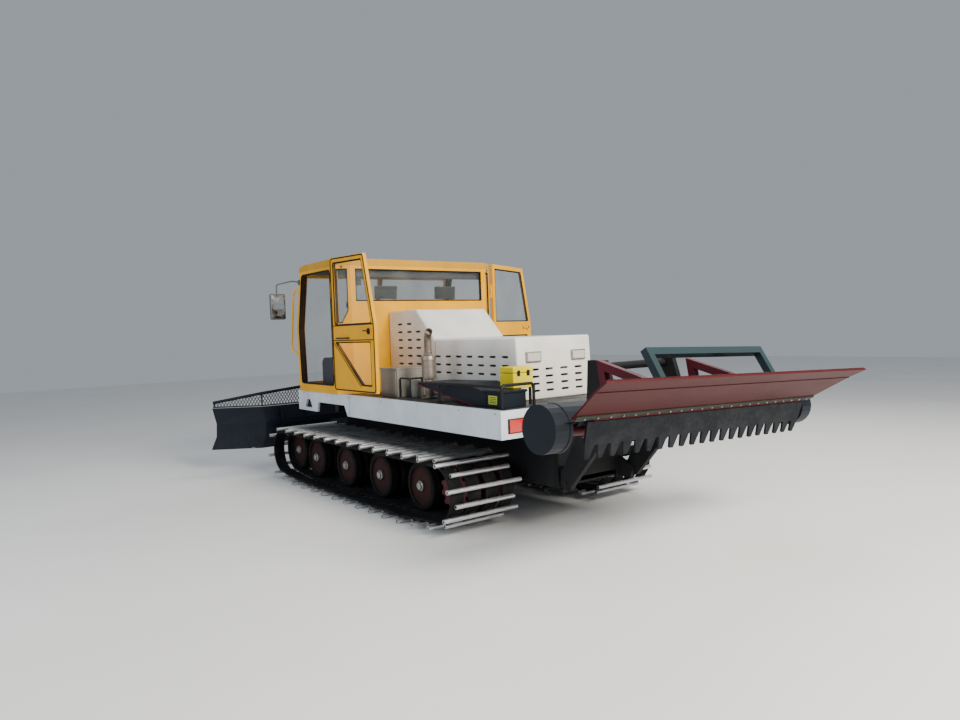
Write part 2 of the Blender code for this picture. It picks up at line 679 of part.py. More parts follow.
def quarter_prism(side, near, far, slit):
    """The pane's space in a rear corner, from near to far inside the corner's outer face."""
    start = Vector((CAB_HALF_WIDTH, CAB_CORNER_Y))
    end = Vector((CAB_POST_HALF_WIDTH, 0.0))
    run = (end - start).normalized()
    inward = Vector((-run.y, run.x))
    length = (end - start).length
    border = 0.035 + slit
    spots = [(border, 1.960 + slit), (length * 0.45, 1.960 + slit), (length - border, 2.105 + slit),
             (length - border, REAR_GLASS_TOP - slit), (border, REAR_GLASS_TOP - slit)]
    mesh = bmesh.new()
    rings = []
    for depth in (near, far):
        ring = []
        for along, z in spots:
            spot = start + run * along + inward * depth
            ring.append(mesh.verts.new((side * spot.x, spot.y, z)))
        rings.append(ring)
        mesh.faces.new(ring)
    for index in range(len(spots)):
        after = (index + 1) % len(spots)
        mesh.faces.new((rings[0][index], rings[0][after], rings[1][after], rings[1][index]))
    return finish(mesh)


def hinge_heights():
    return (1.420, 2.300)


def build_interior():
    floor_top = DECK_TOP + CAB_FLOOR_THICKNESS + SEAT_GAP
    wide = CAB_HALF_WIDTH - CAB_SIDE_THICKNESS - 0.030
    rear = -CAB_WALL_THICKNESS - 0.012
    step = 1.560
    platform = prism(
        [(rear - 0.085, floor_top), (rear - 0.085, step), (-0.64, step), (-0.69, step - 0.05), (-0.69, floor_top)],
        "X", -wide, wide)
    chassis.add("seat_platform", platform, TRIM)
    for name, centre in (("left_seat", 0.43), ("right_seat", -0.43)):
        low = centre - 0.25
        high = centre + 0.25
        cushion = box((low, -0.66, step + SEAT_GAP), (high, -0.15, step + 0.13))
        back = prism(
            [(-0.30, step + 0.05), (-0.17, step + 0.05), (-0.10, 2.19), (-0.19, 2.19)], "X", low + 0.01, high - 0.01)
        head = prism([(-0.185, 2.15), (-0.115, 2.15), (-0.095, 2.42), (-0.185, 2.42)], "X", centre - 0.17, centre + 0.17)
        chassis.add(name, join(cushion, back, head), CLOTH)
    dash = prism(
        [(-0.93, floor_top), (-0.90, 1.66), (-0.93, 1.74), (-1.09, 1.80), (-1.11, floor_top)], "X", -0.66, 0.66)
    column_foot = Vector((0.43, -0.96, 1.70))
    column_head = STEER_CENTRE - STEER_AXIS * 0.022
    dash = join(dash, rod(column_foot, column_head, 0.024))
    chassis.add("dashboard", dash, TRIM)
    engine = box((-0.33, 0.60, DECK_TOP + SEAT_GAP), (0.33, 1.60, 1.66))
    chassis.add("engine_block", engine, GREY)


STEER_CENTRE = Vector((0.43, -0.80, 1.93))
STEER_AXIS = (STEER_CENTRE - Vector((0.43, -0.96, 1.70))).normalized()
STEER_RADIUS = 0.175


def build_steering():
    """Rim, hub and three spokes, turning about the column."""
    body = Body("steering", STEER_CENTRE, chassis)
    aim = STEER_AXIS.to_track_quat("Z", "Y").to_matrix().to_4x4()
    rim_path = [(STEER_RADIUS * math.cos(math.tau * i / 20), STEER_RADIUS * math.sin(math.tau * i / 20)) for i in range(20)]
    mesh = bmesh.new()
    rings = []
    for a, b in rim_path:
        out = Vector((a, b, 0)).normalized()
        ring = [mesh.verts.new(Vector((a, b, 0)) + out * 0.014 * math.cos(t) + Vector((0, 0, 0.014 * math.sin(t))))
                for t in (math.tau * k / 8 for k in range(8))]
        rings.append(ring)
    for index in range(20):
        low = rings[index]
        high = rings[(index + 1) % 20]
        for k in range(8):
            after = (k + 1) % 8
            mesh.faces.new((low[k], low[after], high[after], high[k]))
    rim = finish(mesh)
    spokes = []
    for turn in (math.radians(90), math.radians(210), math.radians(330)):
        tip = Vector((math.cos(turn), math.sin(turn), 0)) * STEER_RADIUS
        spokes.append(rod((0, 0, -0.002), tip, 0.010, 8))
    hub = rod((0, 0, -0.0217), (0, 0, 0.020), 0.045, 16)
    wheel = join(hub, rim, *spokes)
    bmesh.ops.transform(wheel, matrix=Matrix.Translation(STEER_CENTRE) @ aim, verts=wheel.verts)
    body.add("steering_wheel", wheel, TRIM, 40)


# ================================================================ doors
def build_door(name, side, opened):
    """A door modelled shut on the left side, then mirrored for the right and swung open."""
    body = Body(name, (side * DOOR_AXIS_X, DOOR_AXIS_Y, DOOR_BOTTOM), chassis, (0, 0, side * opened))
    low_x = DOOR_AXIS_X - DOOR_THICKNESS / 2
    high_x = DOOR_AXIS_X + DOOR_THICKNESS / 2
    start = DOOR_AXIS_Y - HINGE_RADIUS - 0.004
    free = DOOR_AXIS_Y - DOOR_LENGTH
    free_top = DOOR_AXIS_Y - DOOR_TOP_LENGTH
    leaf = prism(
        [(start, DOOR_BOTTOM), (start, DOOR_TOP), (free_top, DOOR_TOP - 0.02), (free, BELT_Z), (free, DOOR_BOTTOM)],
        "X", low_x, high_x)
    lean = (free_top - free) / (DOOR_TOP - 0.02 - BELT_Z)
    rail_bottom = 1.775
    sash_bottom = BELT_Z + 0.010
    sash_top = DOOR_TOP - 0.055
    upper = [
        (start - 0.055, sash_bottom), (start - 0.055, sash_top),
        (free + 0.055 + lean * (sash_top - BELT_Z), sash_top - 0.015), (free + 0.058, sash_bottom)]
    lower = [
        (start - 0.050, rail_bottom - 0.025), (free + DOOR_STILE, rail_bottom - 0.025),
        (free + DOOR_STILE, DOOR_BOTTOM + 0.070), (free + DOOR_STILE + 0.235, DOOR_BOTTOM + 0.070)]
    openings = (upper, lower)
    for outline in openings:
        leaf = cut(leaf, prism(outline, "X", low_x - 0.05, high_x + 0.05))
    for bottom in hinge_heights():
        knuckle = rod((DOOR_AXIS_X, DOOR_AXIS_Y, bottom), (DOOR_AXIS_X, DOOR_AXIS_Y, bottom + HINGE_KNUCKLE), HINGE_RADIUS)
        strap = box((DOOR_AXIS_X - 0.007, start - 0.01, bottom), (DOOR_AXIS_X + 0.007, DOOR_AXIS_Y, bottom + HINGE_KNUCKLE))
        leaf = join(leaf, join(strap, knuckle))
    latch_y = free + 0.100
    latch_z = 1.855
    leaf = join(leaf, rod((low_x - 0.014, latch_y, latch_z), (high_x + 0.022, latch_y, latch_z), 0.036, 16))
    grip = box((high_x + 0.012, latch_y, latch_z - 0.014), (high_x + 0.026, latch_y + 0.13, latch_z + 0.014))
    leaf = join(leaf, grip)
    if side < 0:
        leaf = mirrored(leaf)
    body.add(name, leaf, YELLOW)
    middle = DOOR_AXIS_X
    for suffix, outline in zip(("_glass", "_lower_glass"), openings):
        pane_outline = inset_ring(outline, SEAT_GAP)
        pane = prism(pane_outline, "X", middle - GLASS_THICKNESS / 2, middle + GLASS_THICKNESS / 2)
        if side < 0:
            pane = mirrored(pane)
        body.add(name + suffix, pane, GLASS)


def inset_ring(outline, gap):
    """Shrink a closed convex outline by a gap."""
    count = len(outline)
    area = sum(outline[i][0] * outline[(i + 1) % count][1] - outline[(i + 1) % count][0] * outline[i][1] for i in range(count))
    sign = 1 if area > 0 else -1
    shrunk = []
    for index in range(count):
        before = Vector(outline[index - 1])
        here = Vector(outline[index])
        after = Vector(outline[(index + 1) % count])
        run_in = (here - before).normalized()
        run_out = (after - here).normalized()
        left_in = Vector((-run_in.y, run_in.x)) * sign
        left_out = Vector((-run_out.y, run_out.x)) * sign
        middle = (left_in + left_out).normalized()
        shrunk.append(tuple(here + middle * (gap / middle.dot(left_in))))
    return shrunk


# ================================================================ hood and deck fittings
def hood_profile(inset, front, bottom):
    return [
        (front, bottom), (front, HOOD_TALL_TOP - inset), (HOOD_RIDGE_Y - inset * 0.4, HOOD_TALL_TOP - inset),
        (HOOD_STEP_Y - inset * 0.4, HOOD_LOW_TOP - inset), (HOOD_REAR_TOP_Y - inset, HOOD_LOW_TOP - inset),
        (HOOD_REAR_BOTTOM_Y - inset, bottom)]


def build_hood():
    bottom = DECK_TOP + SEAT_GAP
    shell = prism(hood_profile(0.0, SEAT_GAP, bottom), "X", -HOOD_HALF_WIDTH, HOOD_HALF_WIDTH)
    long_edges = [e for e in shell.edges if abs(e.verts[0].co.x) == abs(e.verts[1].co.x) and
                  e.verts[0].co.x == e.verts[1].co.x and min(v.co.z for v in e.verts) > bottom + 0.3 and
                  abs(e.verts[0].co.y - e.verts[1].co.y) > 0.2]
    bmesh.ops.bevel(shell, geom=long_edges, offset=HOOD_EDGE_RADIUS, segments=2, affect="EDGES")
    wide = HOOD_HALF_WIDTH - HOOD_THICKNESS
    space = prism(hood_profile(HOOD_THICKNESS, HOOD_THICKNESS + SEAT_GAP, bottom - 0.05), "X", -wide, wide)
    chassis.add("engine_hood", cut(shell, space), WHITE)


def build_fittings():
    seat = DECK_TOP + SEAT_GAP
    x = 0.790
    y = 1.290
    drum = rod((x, y, 1.350), (x, y, 1.580), MUFFLER_RADIUS, 20)
    leg = rod((x, y, seat), (x, y, 1.360), 0.045)
    neck = sweep([(x, y, 1.570), (x, y, 1.765), (x + 0.012, y + 0.030, 1.815), (x + 0.035, y + 0.085, 1.835)], 0.040, 12)
    bore = rod((x + 0.022, y + 0.055, 1.825), (x + 0.050, y + 0.120, 1.847), 0.034, 12)
    foot = box((x - 0.09, y - 0.09, seat), (x + 0.09, y + 0.09, seat + 0.012))
    chassis.add("muffler", cut(join(drum, leg, neck, foot), bore), STEEL, 35)

    cabinet = box((0.600, 0.570, seat), (0.950, 0.930, 1.455))
    shelf = box((0.640, 0.920, seat), (0.930, 1.150, 1.360))
    chassis.add("deck_cabinet", join(cabinet, shelf), GREY)

    tray_outline = [
        (1.400, 1.310), (1.400, 1.335), (2.180, 1.352), (BATTERY_FRONT_Y + 0.020, BATTERY_LID_TOP - 0.015),
        (BATTERY_FRONT_Y + 0.020, seat), (2.330, seat)]
    tray = prism(tray_outline, "X", 0.600, 1.000)
    case = box((BATTERY_INNER_X, BATTERY_FRONT_Y, seat), (1.000, 2.740, BATTERY_LID_TOP - 0.020))
    lid = box((BATTERY_INNER_X - 0.010, BATTERY_FRONT_Y - 0.010, BATTERY_LID_TOP - 0.024), (1.008, 2.750, BATTERY_LID_TOP))
    chassis.add("battery_box", join(tray, case, lid), BLACK)

    tool_low = Vector((TOOL_BOX_INNER_X, 2.450, BATTERY_LID_TOP + SEAT_GAP))
    tool_box = box(tool_low, (BATTERY_INNER_X + TOOL_BOX_OVERLAP, 2.640, TOOL_BOX_TOP))
    bmesh.ops.bevel(tool_box, geom=tool_box.edges[:], offset=0.008, segments=1, affect="EDGES")
    for leg_y in (2.465, 2.605):
        leg = box((TOOL_BOX_INNER_X + 0.010, leg_y, seat), (TOOL_BOX_INNER_X + 0.030, leg_y + 0.020, tool_low.z + 0.020))
        tool_box = join(tool_box, leg)
    chassis.add("tool_box", tool_box, SIGNAL)

    rail_y = 2.800
    hoop = sweep(
        [(HANDRAIL_INNER_X, rail_y, seat + 0.004), (HANDRAIL_INNER_X, rail_y, HANDRAIL_Z - 0.025),
         (HANDRAIL_INNER_X + 0.025, rail_y, HANDRAIL_Z), (HANDRAIL_OUTER_X - 0.025, rail_y, HANDRAIL_Z),
         (HANDRAIL_OUTER_X, rail_y, HANDRAIL_Z - 0.025), (HANDRAIL_OUTER_X, rail_y, seat + 0.004)], 0.014)
    side_bar = sweep(
        [(HANDRAIL_OUTER_X, HANDRAIL_FRONT_Y, seat + 0.004), (HANDRAIL_OUTER_X, HANDRAIL_FRONT_Y, HANDRAIL_Z - 0.045),
         (HANDRAIL_OUTER_X, HANDRAIL_FRONT_Y + 0.030, HANDRAIL_Z - 0.015), (HANDRAIL_OUTER_X, rail_y - 0.002, HANDRAIL_Z - 0.013)], 0.012)
    places = ((HANDRAIL_INNER_X, rail_y), (HANDRAIL_OUTER_X, rail_y), (HANDRAIL_OUTER_X, HANDRAIL_FRONT_Y))
    feet = [box((x - 0.028, y - 0.022, seat), (x + 0.028, y + 0.022, seat + 0.008)) for x, y in places]
    hoop = join(hoop, side_bar)
    chassis.add("deck_handrail", join(hoop, *feet), BLACK, 40)

    tank = box((-0.950, 0.350, seat), (-0.580, 1.750, 1.500))
    long_edges = [e for e in tank.edges if abs(e.verts[0].co.y - e.verts[1].co.y) > 0.5]
    bmesh.ops.bevel(tank, geom=long_edges, offset=0.040, segments=3, affect="EDGES")
    chassis.add("fuel_tank", tank, GREY, 40)

    for name, side in (("left_mirror", 1), ("right_mirror", -1)):
        pillar = CAB_HALF_WIDTH + SEAT_GAP
        arm = sweep([(pillar + 0.010, -1.060, 2.500), (pillar + 0.060, -1.130, 2.520), (1.320, -1.310, 2.490),
                     (1.324, -1.325, 2.460), (1.324, -1.325, 2.370)], 0.009)
        foot = box((pillar, -1.085, 2.470), (pillar + 0.014, -1.035, 2.530))
        head = box((1.216, -1.350, 2.046), (1.420, -1.300, 2.384))
        bmesh.ops.bevel(head, geom=[e for e in head.edges if abs(e.verts[0].co.y - e.verts[1].co.y) > 0.04],
                        offset=0.030, segments=3, affect="EDGES")
        mirror = join(head, arm, foot)
        if side < 0:
            mirror = mirrored(mirror)
        chassis.add(name, mirror, BLACK, 40)


# ================================================================ running gear
def wheel_places():
    road = [(LAST_WHEEL_Y - WHEEL_PITCH * i, WHEEL_Z) for i in range(WHEEL_COUNT)]
    return road + [(IDLER_Y, IDLER_Z)]


def loop_outline(radius, sides=28):
    """Path of the belt at a distance from the wheels' centres, with flats straight below them."""
    grown = radius / math.cos(math.pi / sides)
    first = -math.pi / 2 + math.pi / sides
    points = []
    for y, z in wheel_places() + [(SPROCKET_Y, SPROCKET_Z)]:
        points += circle(y, z, grown, sides, first)
    return hull(points)


def points_along(outline, count):
    """Evenly spaced points and directions along a closed outline."""
    corners = [Vector(p) for p in outline] + [Vector(outline[0])]
    lengths = [(b - a).length for a, b in zip(corners, corners[1:])]
    whole = sum(lengths)
    found = []
    for index in range(count):
        want = whole * (index + 0.5) / count
        for a, b, length in zip(corners, corners[1:], lengths):
            if want <= length:
                run = (b - a).normalized()
                found.append((a + run * want, run))
                break
            want -= length
    return found


def build_track(name, side):
    half_belt = TRACK_BELT_WIDTH / 2
    low = side * TRACK_CENTRE_X - half_belt
    high = side * TRACK_CENTRE_X + half_belt
    belt = prism(loop_outline(WHEEL_PATH_RADIUS - BAR_SIZE / 2), "X", low, high)
    belt = cut(belt, prism(loop_outline(BELT_INNER_RADIUS), "X", low - 0.05, high + 0.05))
    bars = []
    for index, (point, run) in enumerate(points_along(loop_outline(WHEEL_PATH_RADIUS), BAR_COUNT)):
        share = 1.0 if index % 2 == 0 else SHORT_BAR_SHARE
        reach = TRACK_WIDTH / 2 * share
        bar = box((-reach, -BAR_SIZE / 2, -BAR_SIZE / 2), (reach, BAR_SIZE / 2, BAR_SIZE / 2 + 0.004))
        place = frame_of(Vector((side * TRACK_CENTRE_X, point.x, point.y)), run)
        bmesh.ops.transform(bar, matrix=place, verts=bar.verts)
        bars.append(bar)
    chassis.add(name, join(belt, gather(bars)), BRIGHT)


def build_running_gear(prefix, side):
    """Wheels, idler and their axles, all carried by one beam beside the frame."""
    near = RAIL_OUTER_X + SEAT_GAP
    beam_low = 0.615
    beam_high = 0.680
    beam = box((beam_low, IDLER_Y - 0.06, 0.290), (beam_high, LAST_WHEEL_Y + 0.10, 0.410))
    wheel_near = TRACK_CENTRE_X - WHEEL_WIDTH / 2
    wheel_far = TRACK_CENTRE_X + WHEEL_WIDTH / 2
    for index, (y, z) in enumerate(wheel_places()):
        wheel = cross_rod(y, z, wheel_near, wheel_far, WHEEL_RADIUS, 20)
        axle = cross_rod(y, z, beam_low + 0.01, wheel_far + 0.025, AXLE_RADIUS, 8)
        beam = join(beam, join(axle, wheel))
        if index != WHEEL_COUNT:
            beam = join(beam, cross_rod(y, 0.350, near, beam_low + 0.02, AXLE_RADIUS + 0.010, 8))
    if side < 0:
        beam = mirrored(beam)
    chassis.add(prefix + "_running_gear", beam, DARK_RED)

    drive = cross_rod(SPROCKET_Y, SPROCKET_Z, near, TRACK_CENTRE_X + 0.17, 0.110, 20)
    for offset in (-0.13, 0.11):
        drive = join(drive, cross_rod(SPROCKET_Y, SPROCKET_Z, TRACK_CENTRE_X + offset, TRACK_CENTRE_X + offset + 0.03, SPROCKET_RADIUS, 20))
    if side < 0:
        drive = mirrored(drive)
    chassis.add(prefix + "_sprocket", drive, DARK_RED)


# ================================================================ blade
def blade_line():
    """Rear face of the mouldboard in section, from its cutting edge up."""
    return [
        (-0.040, BLADE_BOTTOM), (BLADE_CURVE - 0.020, (BLADE_BOTTOM + BLADE_CREASE) / 2),
        (BLADE_CURVE - 0.010, BLADE_CREASE), (0.0, BLADE_TOP)]


def wing_end():
    return Vector((BLADE_HALF_WIDTH + WING_LENGTH * math.cos(WING_ANGLE), BLADE_Y - WING_LENGTH * math.sin(WING_ANGLE)))


def plan_stations():
    """Plan of the blade from the left tip to the right tip, with the depth direction at each."""
    tip = wing_end()
    bend = WING_ANGLE / 2
    turns = (WING_ANGLE, bend, 0.0, -bend, -WING_ANGLE)
    spots = ((tip.x, tip.y), (BLADE_HALF_WIDTH, BLADE_Y), (0.0, BLADE_Y), (-BLADE_HALF_WIDTH, BLADE_Y), (-tip.x, tip.y))
    stations = []
    for (x, y), turn in zip(spots, turns):
        stretch = 1.0 / math.cos(bend) if abs(abs(turn) - bend) < 1e-6 and turn else 1.0
        back = Vector((-math.sin(turn), math.cos(turn))) * stretch
        stations.append((Vector((x, y)), back))
    return stations


def loft(stations, section_at):
    """Skin closed sections, one for each station, and cap both ends."""
    mesh = bmesh.new()
    rings = []
    for index, (spot, back) in enumerate(stations):
        ring = []
        for depth, z in section_at(index):
            ring.append(mesh.verts.new((spot.x + back.x * depth, spot.y + back.y * depth, z)))
        rings.append(ring)
    count = len(rings[0])
    for low, high in zip(rings, rings[1:]):
        for k in range(count):
            after = (k + 1) % count
            mesh.faces.new((low[k], low[after], high[after], high[k]))
    mesh.faces.new(rings[0])
    mesh.faces.new(rings[-1])
    return finish(mesh)


def build_blade():
    lift = Body("blade_lift", BLADE_PIVOT, chassis)
    arm_low = PUSH_ARM_X - PUSH_ARM_WIDTH / 2
    arm_high = PUSH_ARM_X + PUSH_ARM_WIDTH / 2
    side_outline = [
        (BLADE_PIVOT.y + 0.06, 0.455), (BLADE_PIVOT.y + 0.06, 0.545), (-1.30, 0.570), (-1.950, 0.570), (-1.950, 0.430), (-1.30, 0.430)]
    frame = box((-arm_high, -1.900, 0.435), (arm_high, -1.790, 0.565))
    for side in (-1, 1):
        arm = prism(side_outline, "X", min(side * arm_low, side * arm_high), max(side * arm_low, side * arm_high))
        arm = cut(arm, cross_rod(BLADE_PIVOT.y, BLADE_PIVOT.z, -1.0, 1.0, hole_radius(BLADE_PIN_RADIUS, 16), 16))
        frame = join(frame, arm)
    post = rod((0, BLADE_SWING.y, 0.380), (0, BLADE_SWING.y, 0.625), SWING_PIN_RADIUS, 16)
    boss = rod((0, BLADE_SWING.y, 0.440), (0, BLADE_SWING.y, 0.560), 0.070, 16)
    neck = box((-0.065, BLADE_SWING.y, 0.445), (0.065, -1.880, 0.555))
    frame = join(frame, boss, neck, post)
    for plate in lug_pair(BLADE_ROD_EYE, (-1.885, 0.550), (-1.805, 0.550)):
        frame = join(frame, plate)
    lift.add("blade_push_frame", frame, BLACK)

    swing = Body("blade_swing", BLADE_SWING, lift)
    stations = plan_stations()
    line = blade_line()
    section = list(line) + [(depth - BLADE_THICKNESS, z) for depth, z in reversed(line)]
    board = loft(stations, lambda index: section)
    fork = []
    for low, high, depth in ((0.375, 0.425, -0.010), (0.570, 0.630, 0.040)):
        start = BLADE_Y + depth
        end = BLADE_SWING.y + 0.060
        plate = prism([(-0.30, start), (-0.075, end), (0.075, end), (0.30, start)], "Z", low, high)
        fork.append(cut(plate, rod((0, BLADE_SWING.y, low - 0.1), (0, BLADE_SWING.y, high + 0.1), hole_radius(SWING_PIN_RADIUS, 16), 16)))
    board = join(board, *fork)
    spine = box((-1.18, BLADE_Y + 0.030, 0.640), (1.18, BLADE_Y + 0.085, 0.710))
    board = join(board, spine)
    swing.add("blade", board, BLACK)

    tops = [GUARD_TIP_TOP, GUARD_TOPS[1][1], GUARD_TOPS[0][1], GUARD_TOPS[0][1], GUARD_TOPS[1][1], GUARD_TIP_TOP]
    guard_stations = stations[:2]
    guard_stations += [(Vector((x, BLADE_Y)), Vector((0.0, 1.0))) for x in (GUARD_TOPS[0][0], -GUARD_TOPS[0][0])]
    guard_stations += stations[3:]
    bottom = BLADE_TOP + SEAT_GAP

    def guard_section(index):
        top = tops[index]
        low_rail = top - GUARD_RAIL
        return [(-0.018, bottom), (-0.006, bottom), (-0.006, low_rail), (0.012, low_rail),
                (0.012, top), (-0.032, top), (-0.032, low_rail), (-0.018, low_rail)]

    swing.add("blade_guard", loft(guard_stations, guard_section), BLACK)

    barrel = Body("blade_barrel", BLADE_BARREL_FOOT, chassis)
    barrel.add("blade_cylinder_barrel", barrel_mesh(BLADE_BARREL_FOOT, BLADE_ROD_EYE, BLADE_BARREL_LENGTH), BLACK, 40)
    piston = Body("blade_rod", BLADE_ROD_EYE, barrel)
    piston_mesh = rod_mesh(BLADE_BARREL_FOOT, BLADE_ROD_EYE, BLADE_BARREL_LENGTH, BLADE_ROD_OVERLAP)
    piston.add("blade_cylinder_rod", piston_mesh, STEEL, 40)


# ================================================================ tiller
def build_lift_frame():
    lift = Body("tiller_lift", LIFT_PIVOT, chassis)
    outline = [
        (2.850, 0.430), (2.900, 0.395), (2.960, 0.410), (3.470, 0.980), (3.480, 1.310), (3.405, 1.540), (3.215, 1.540),
        (3.190, 1.150), (2.850, 0.520)]
    plates = []
    for side in (-1, 1):
        low = side * LIFT_PLATE_X - LIFT_PLATE_THICKNESS / 2
        high = side * LIFT_PLATE_X + LIFT_PLATE_THICKNESS / 2
        plate = prism(outline, "X", low, high)
        plates.append(cut(plate, cross_rod(LIFT_PIVOT.y, LIFT_PIVOT.z, -1.0, 1.0, hole_radius(LIFT_PIN_RADIUS, 16), 16)))
    frame = plates[0]
    low_tube = cross_rod(3.400, ROLL_PIVOT.z, -LIFT_PLATE_X, LIFT_PLATE_X, 0.055, 16)
    high_tube = cross_rod(3.310, 1.480, -LIFT_PLATE_X, LIFT_PLATE_X, 0.035, 12)
    foot_tube = cross_rod(3.330, 0.950, -LIFT_PLATE_X, LIFT_PLATE_X, 0.035, 12)
    frame = join(frame, low_tube, high_tube, foot_tube, plates[1])
    boss = rod((0, 3.400, ROLL_PIVOT.z), (0, 3.500, ROLL_PIVOT.z), 0.060, 16)
    pin = rod((0, 3.480, ROLL_PIVOT.z), (0, 3.585, ROLL_PIVOT.z), ROLL_PIN_RADIUS, 16)
    frame = join(frame, boss, pin)
    for plate in lug_pair(LIFT_ROD_EYE, (3.400, 1.205), (3.400, 1.275)):
        frame = join(frame, plate)
    lift.add("tiller_lift_frame", frame, BLACK)
    return lift


def board_outline():
    """Side line of the board from its front lip to its tail."""
    return [BOARD_LIP[:2], BOARD_CREASE[:2], BOARD_TAIL[:2]]


def build_tiller(lift):
    roll = Body("tiller", ROLL_PIVOT, lift, (0, ROLL_ANGLE, 0))
    beam_y = 3.540
    half = YOKE_TUBE / 2
    cross = box((-YOKE_X - half, beam_y - half, ROLL_PIVOT.z - 0.050), (YOKE_X + half, beam_y + half, ROLL_PIVOT.z + 0.050))
    cross = cut(cross, rod((0, 3.40, ROLL_PIVOT.z), (0, 3.70, ROLL_PIVOT.z), hole_radius(ROLL_PIN_RADIUS, 16), 16))
    yoke = cross
    for side in (-1, 1):
        x = side * YOKE_X
        yoke = join(yoke, sweep([(x, beam_y, ROLL_PIVOT.z), (x, 3.490, 1.485), (x, 3.860, 1.385), (x, 3.955, 1.354)], half, square=True))
        shoe = box((x - 0.060, 3.880, YOKE_FOOT_Z + SEAT_GAP), (x + 0.060, 4.010, YOKE_FOOT_Z + 0.033))
        yoke = join(yoke, shoe)
        yoke = join(yoke, sweep([(x, beam_y, ROLL_PIVOT.z - 0.010), (x, 3.650, 1.170)], 0.025, square=True))
    roll.add("tiller_yoke", yoke, DARK_RED)

    y = ROTOR_AXIS.y
    z = ROTOR_AXIS.z
    steps = 12
    first = math.radians(200.0)
    last = math.radians(14.0)
    arc = [(y + HOUSING_RADIUS * math.cos(first + (last - first) * i / steps),
            z + HOUSING_RADIUS * math.sin(first + (last - first) * i / steps)) for i in range(steps + 1)]
    shell = prism(band(arc, HOUSING_THICKNESS), "X", -HOUSING_HALF_WIDTH, HOUSING_HALF_WIDTH)
    hinge_front = BOARD_LIP[0] - BOARD_HINGE_REACH
    flange = prism(
        [(4.015, 1.100), (4.034, 1.102), (hinge_front - SEAT_GAP, 1.142), (hinge_front - SEAT_GAP, 1.168), (4.012, 1.138)],
        "X", -HOUSING_HALF_WIDTH + 0.05, HOUSING_HALF_WIDTH - 0.05)
    shell = join(shell, flange)
    for side in (-1, 1):
        x = side * YOKE_X
        shell = join(shell, prism([(3.890, YOKE_FOOT_Z), (3.890, 1.245), (4.000, 1.190), (4.000, YOKE_FOOT_Z)],
                                  "X", x - 0.050, x + 0.050))
    for side in (-1, 1):
        start = side * HOUSING_HALF_WIDTH
        inside = start - side * 0.006
        plate = cross_rod(y, z, min(inside, start + side * 0.020), max(inside, start + side * 0.020), HOUSING_RADIUS + HOUSING_THICKNESS + 0.002, 24)
        drive = cross_rod(y, z, min(start + side * 0.015, start + side * (0.030 + DRIVE_DEPTH)),
                          max(start + side * 0.015, start + side * (0.030 + DRIVE_DEPTH)), DRIVE_RADIUS, 24)
        stub = cross_rod(y, z, min(start - side * 0.030, start + side * 0.010), max(start - side * 0.030, start + side * 0.010), 0.045, 16)
        shell = join(shell, plate, drive, stub)
    roll.add("tiller_housing", shell, BLACK, 35)

    lip = [BOARD_LIP, BOARD_CREASE, BOARD_TAIL]
    mesh = bmesh.new()
    line = board_outline()
    upper = shift_outline(line, BOARD_THICKNESS)
    rings = []
    for side in (1, -1):
        ring = []
        for (a, b), (_, _, wide) in zip(line, lip):
            ring.append(mesh.verts.new((side * wide, a, b)))
        for (a, b), (_, _, wide) in zip(reversed(upper), reversed(lip)):
            ring.append(mesh.verts.new((side * wide, a, b)))
        rings.append(ring)
        mesh.faces.new(ring)
    count = len(rings[0])
    for k in range(count):
        after = (k + 1) % count
        mesh.faces.new((rings[0][k], rings[0][after], rings[1][after], rings[1][k]))
    board = finish(mesh)
    hinge = box((-1.30, BOARD_LIP[0] - BOARD_HINGE_REACH, BOARD_HINGE_BOTTOM), (1.30, BOARD_LIP[0] + 0.025, BOARD_LIP[1] + 0.024))
    board = join(board, hinge)
    roll.add("tiller_board", board, RED)

    run = Vector((BOARD_CREASE[0] - BOARD_LIP[0], BOARD_CREASE[1] - BOARD_LIP[1])).normalized()
    normal = Vector((-run.y, run.x))
    lip_point = Vector(BOARD_LIP[:2])
    top = Vector(HOOP_TOP)
    height = (top - lip_point).dot(normal)
    foot = top - normal * (height - BOARD_THICKNESS - SEAT_GAP)
    half_tube = HOOP_TUBE / 2
    hoop = sweep(
        [(-HOOP_HALF_WIDTH, foot.x, foot.y), (-HOOP_HALF_WIDTH, top.x, top.y), (HOOP_HALF_WIDTH, top.x, top.y),
         (HOOP_HALF_WIDTH, foot.x, foot.y)], half_tube, square=True)
    roll.add("tiller_hoop", hoop, GREY)

    comb_top = Vector(COMB_TOP)
    comb_tip = Vector(COMB_TIP)
    drop = (comb_tip - comb_top).normalized()
    across = Vector((-drop.y, drop.x))
    length = (comb_tip - comb_top).length
    outline = [(-COMB_HALF_WIDTH, 0.0)]
    count = int(2 * COMB_HALF_WIDTH / COMB_TOOTH_PITCH)
    pitch = 2 * COMB_HALF_WIDTH / count
    root = length - COMB_TOOTH_LENGTH
    for index in range(count):
        start = -COMB_HALF_WIDTH + pitch * index
        outline += [(start + pitch * 0.06, root), (start + pitch * 0.24, length), (start + pitch * 0.56, length), (start + pitch * 0.80, root)]
    outline += [(COMB_HALF_WIDTH, 0.0)]
    comb = bmesh.new()
    rings = []
    for depth in (0.0, COMB_THICKNESS):
        ring = []
        for along, down in outline:
            spot = comb_top + drop * down + across * depth
            ring.append(comb.verts.new((along, spot.x, spot.y)))
        rings.append(ring)
        comb.faces.new(ring)
    count = len(outline)
    for k in range(count):
        after = (k + 1) % count
        comb.faces.new((rings[0][k], rings[0][after], rings[1][after], rings[1][k]))
    roll.add("tiller_comb", finish(comb), RUBBER)

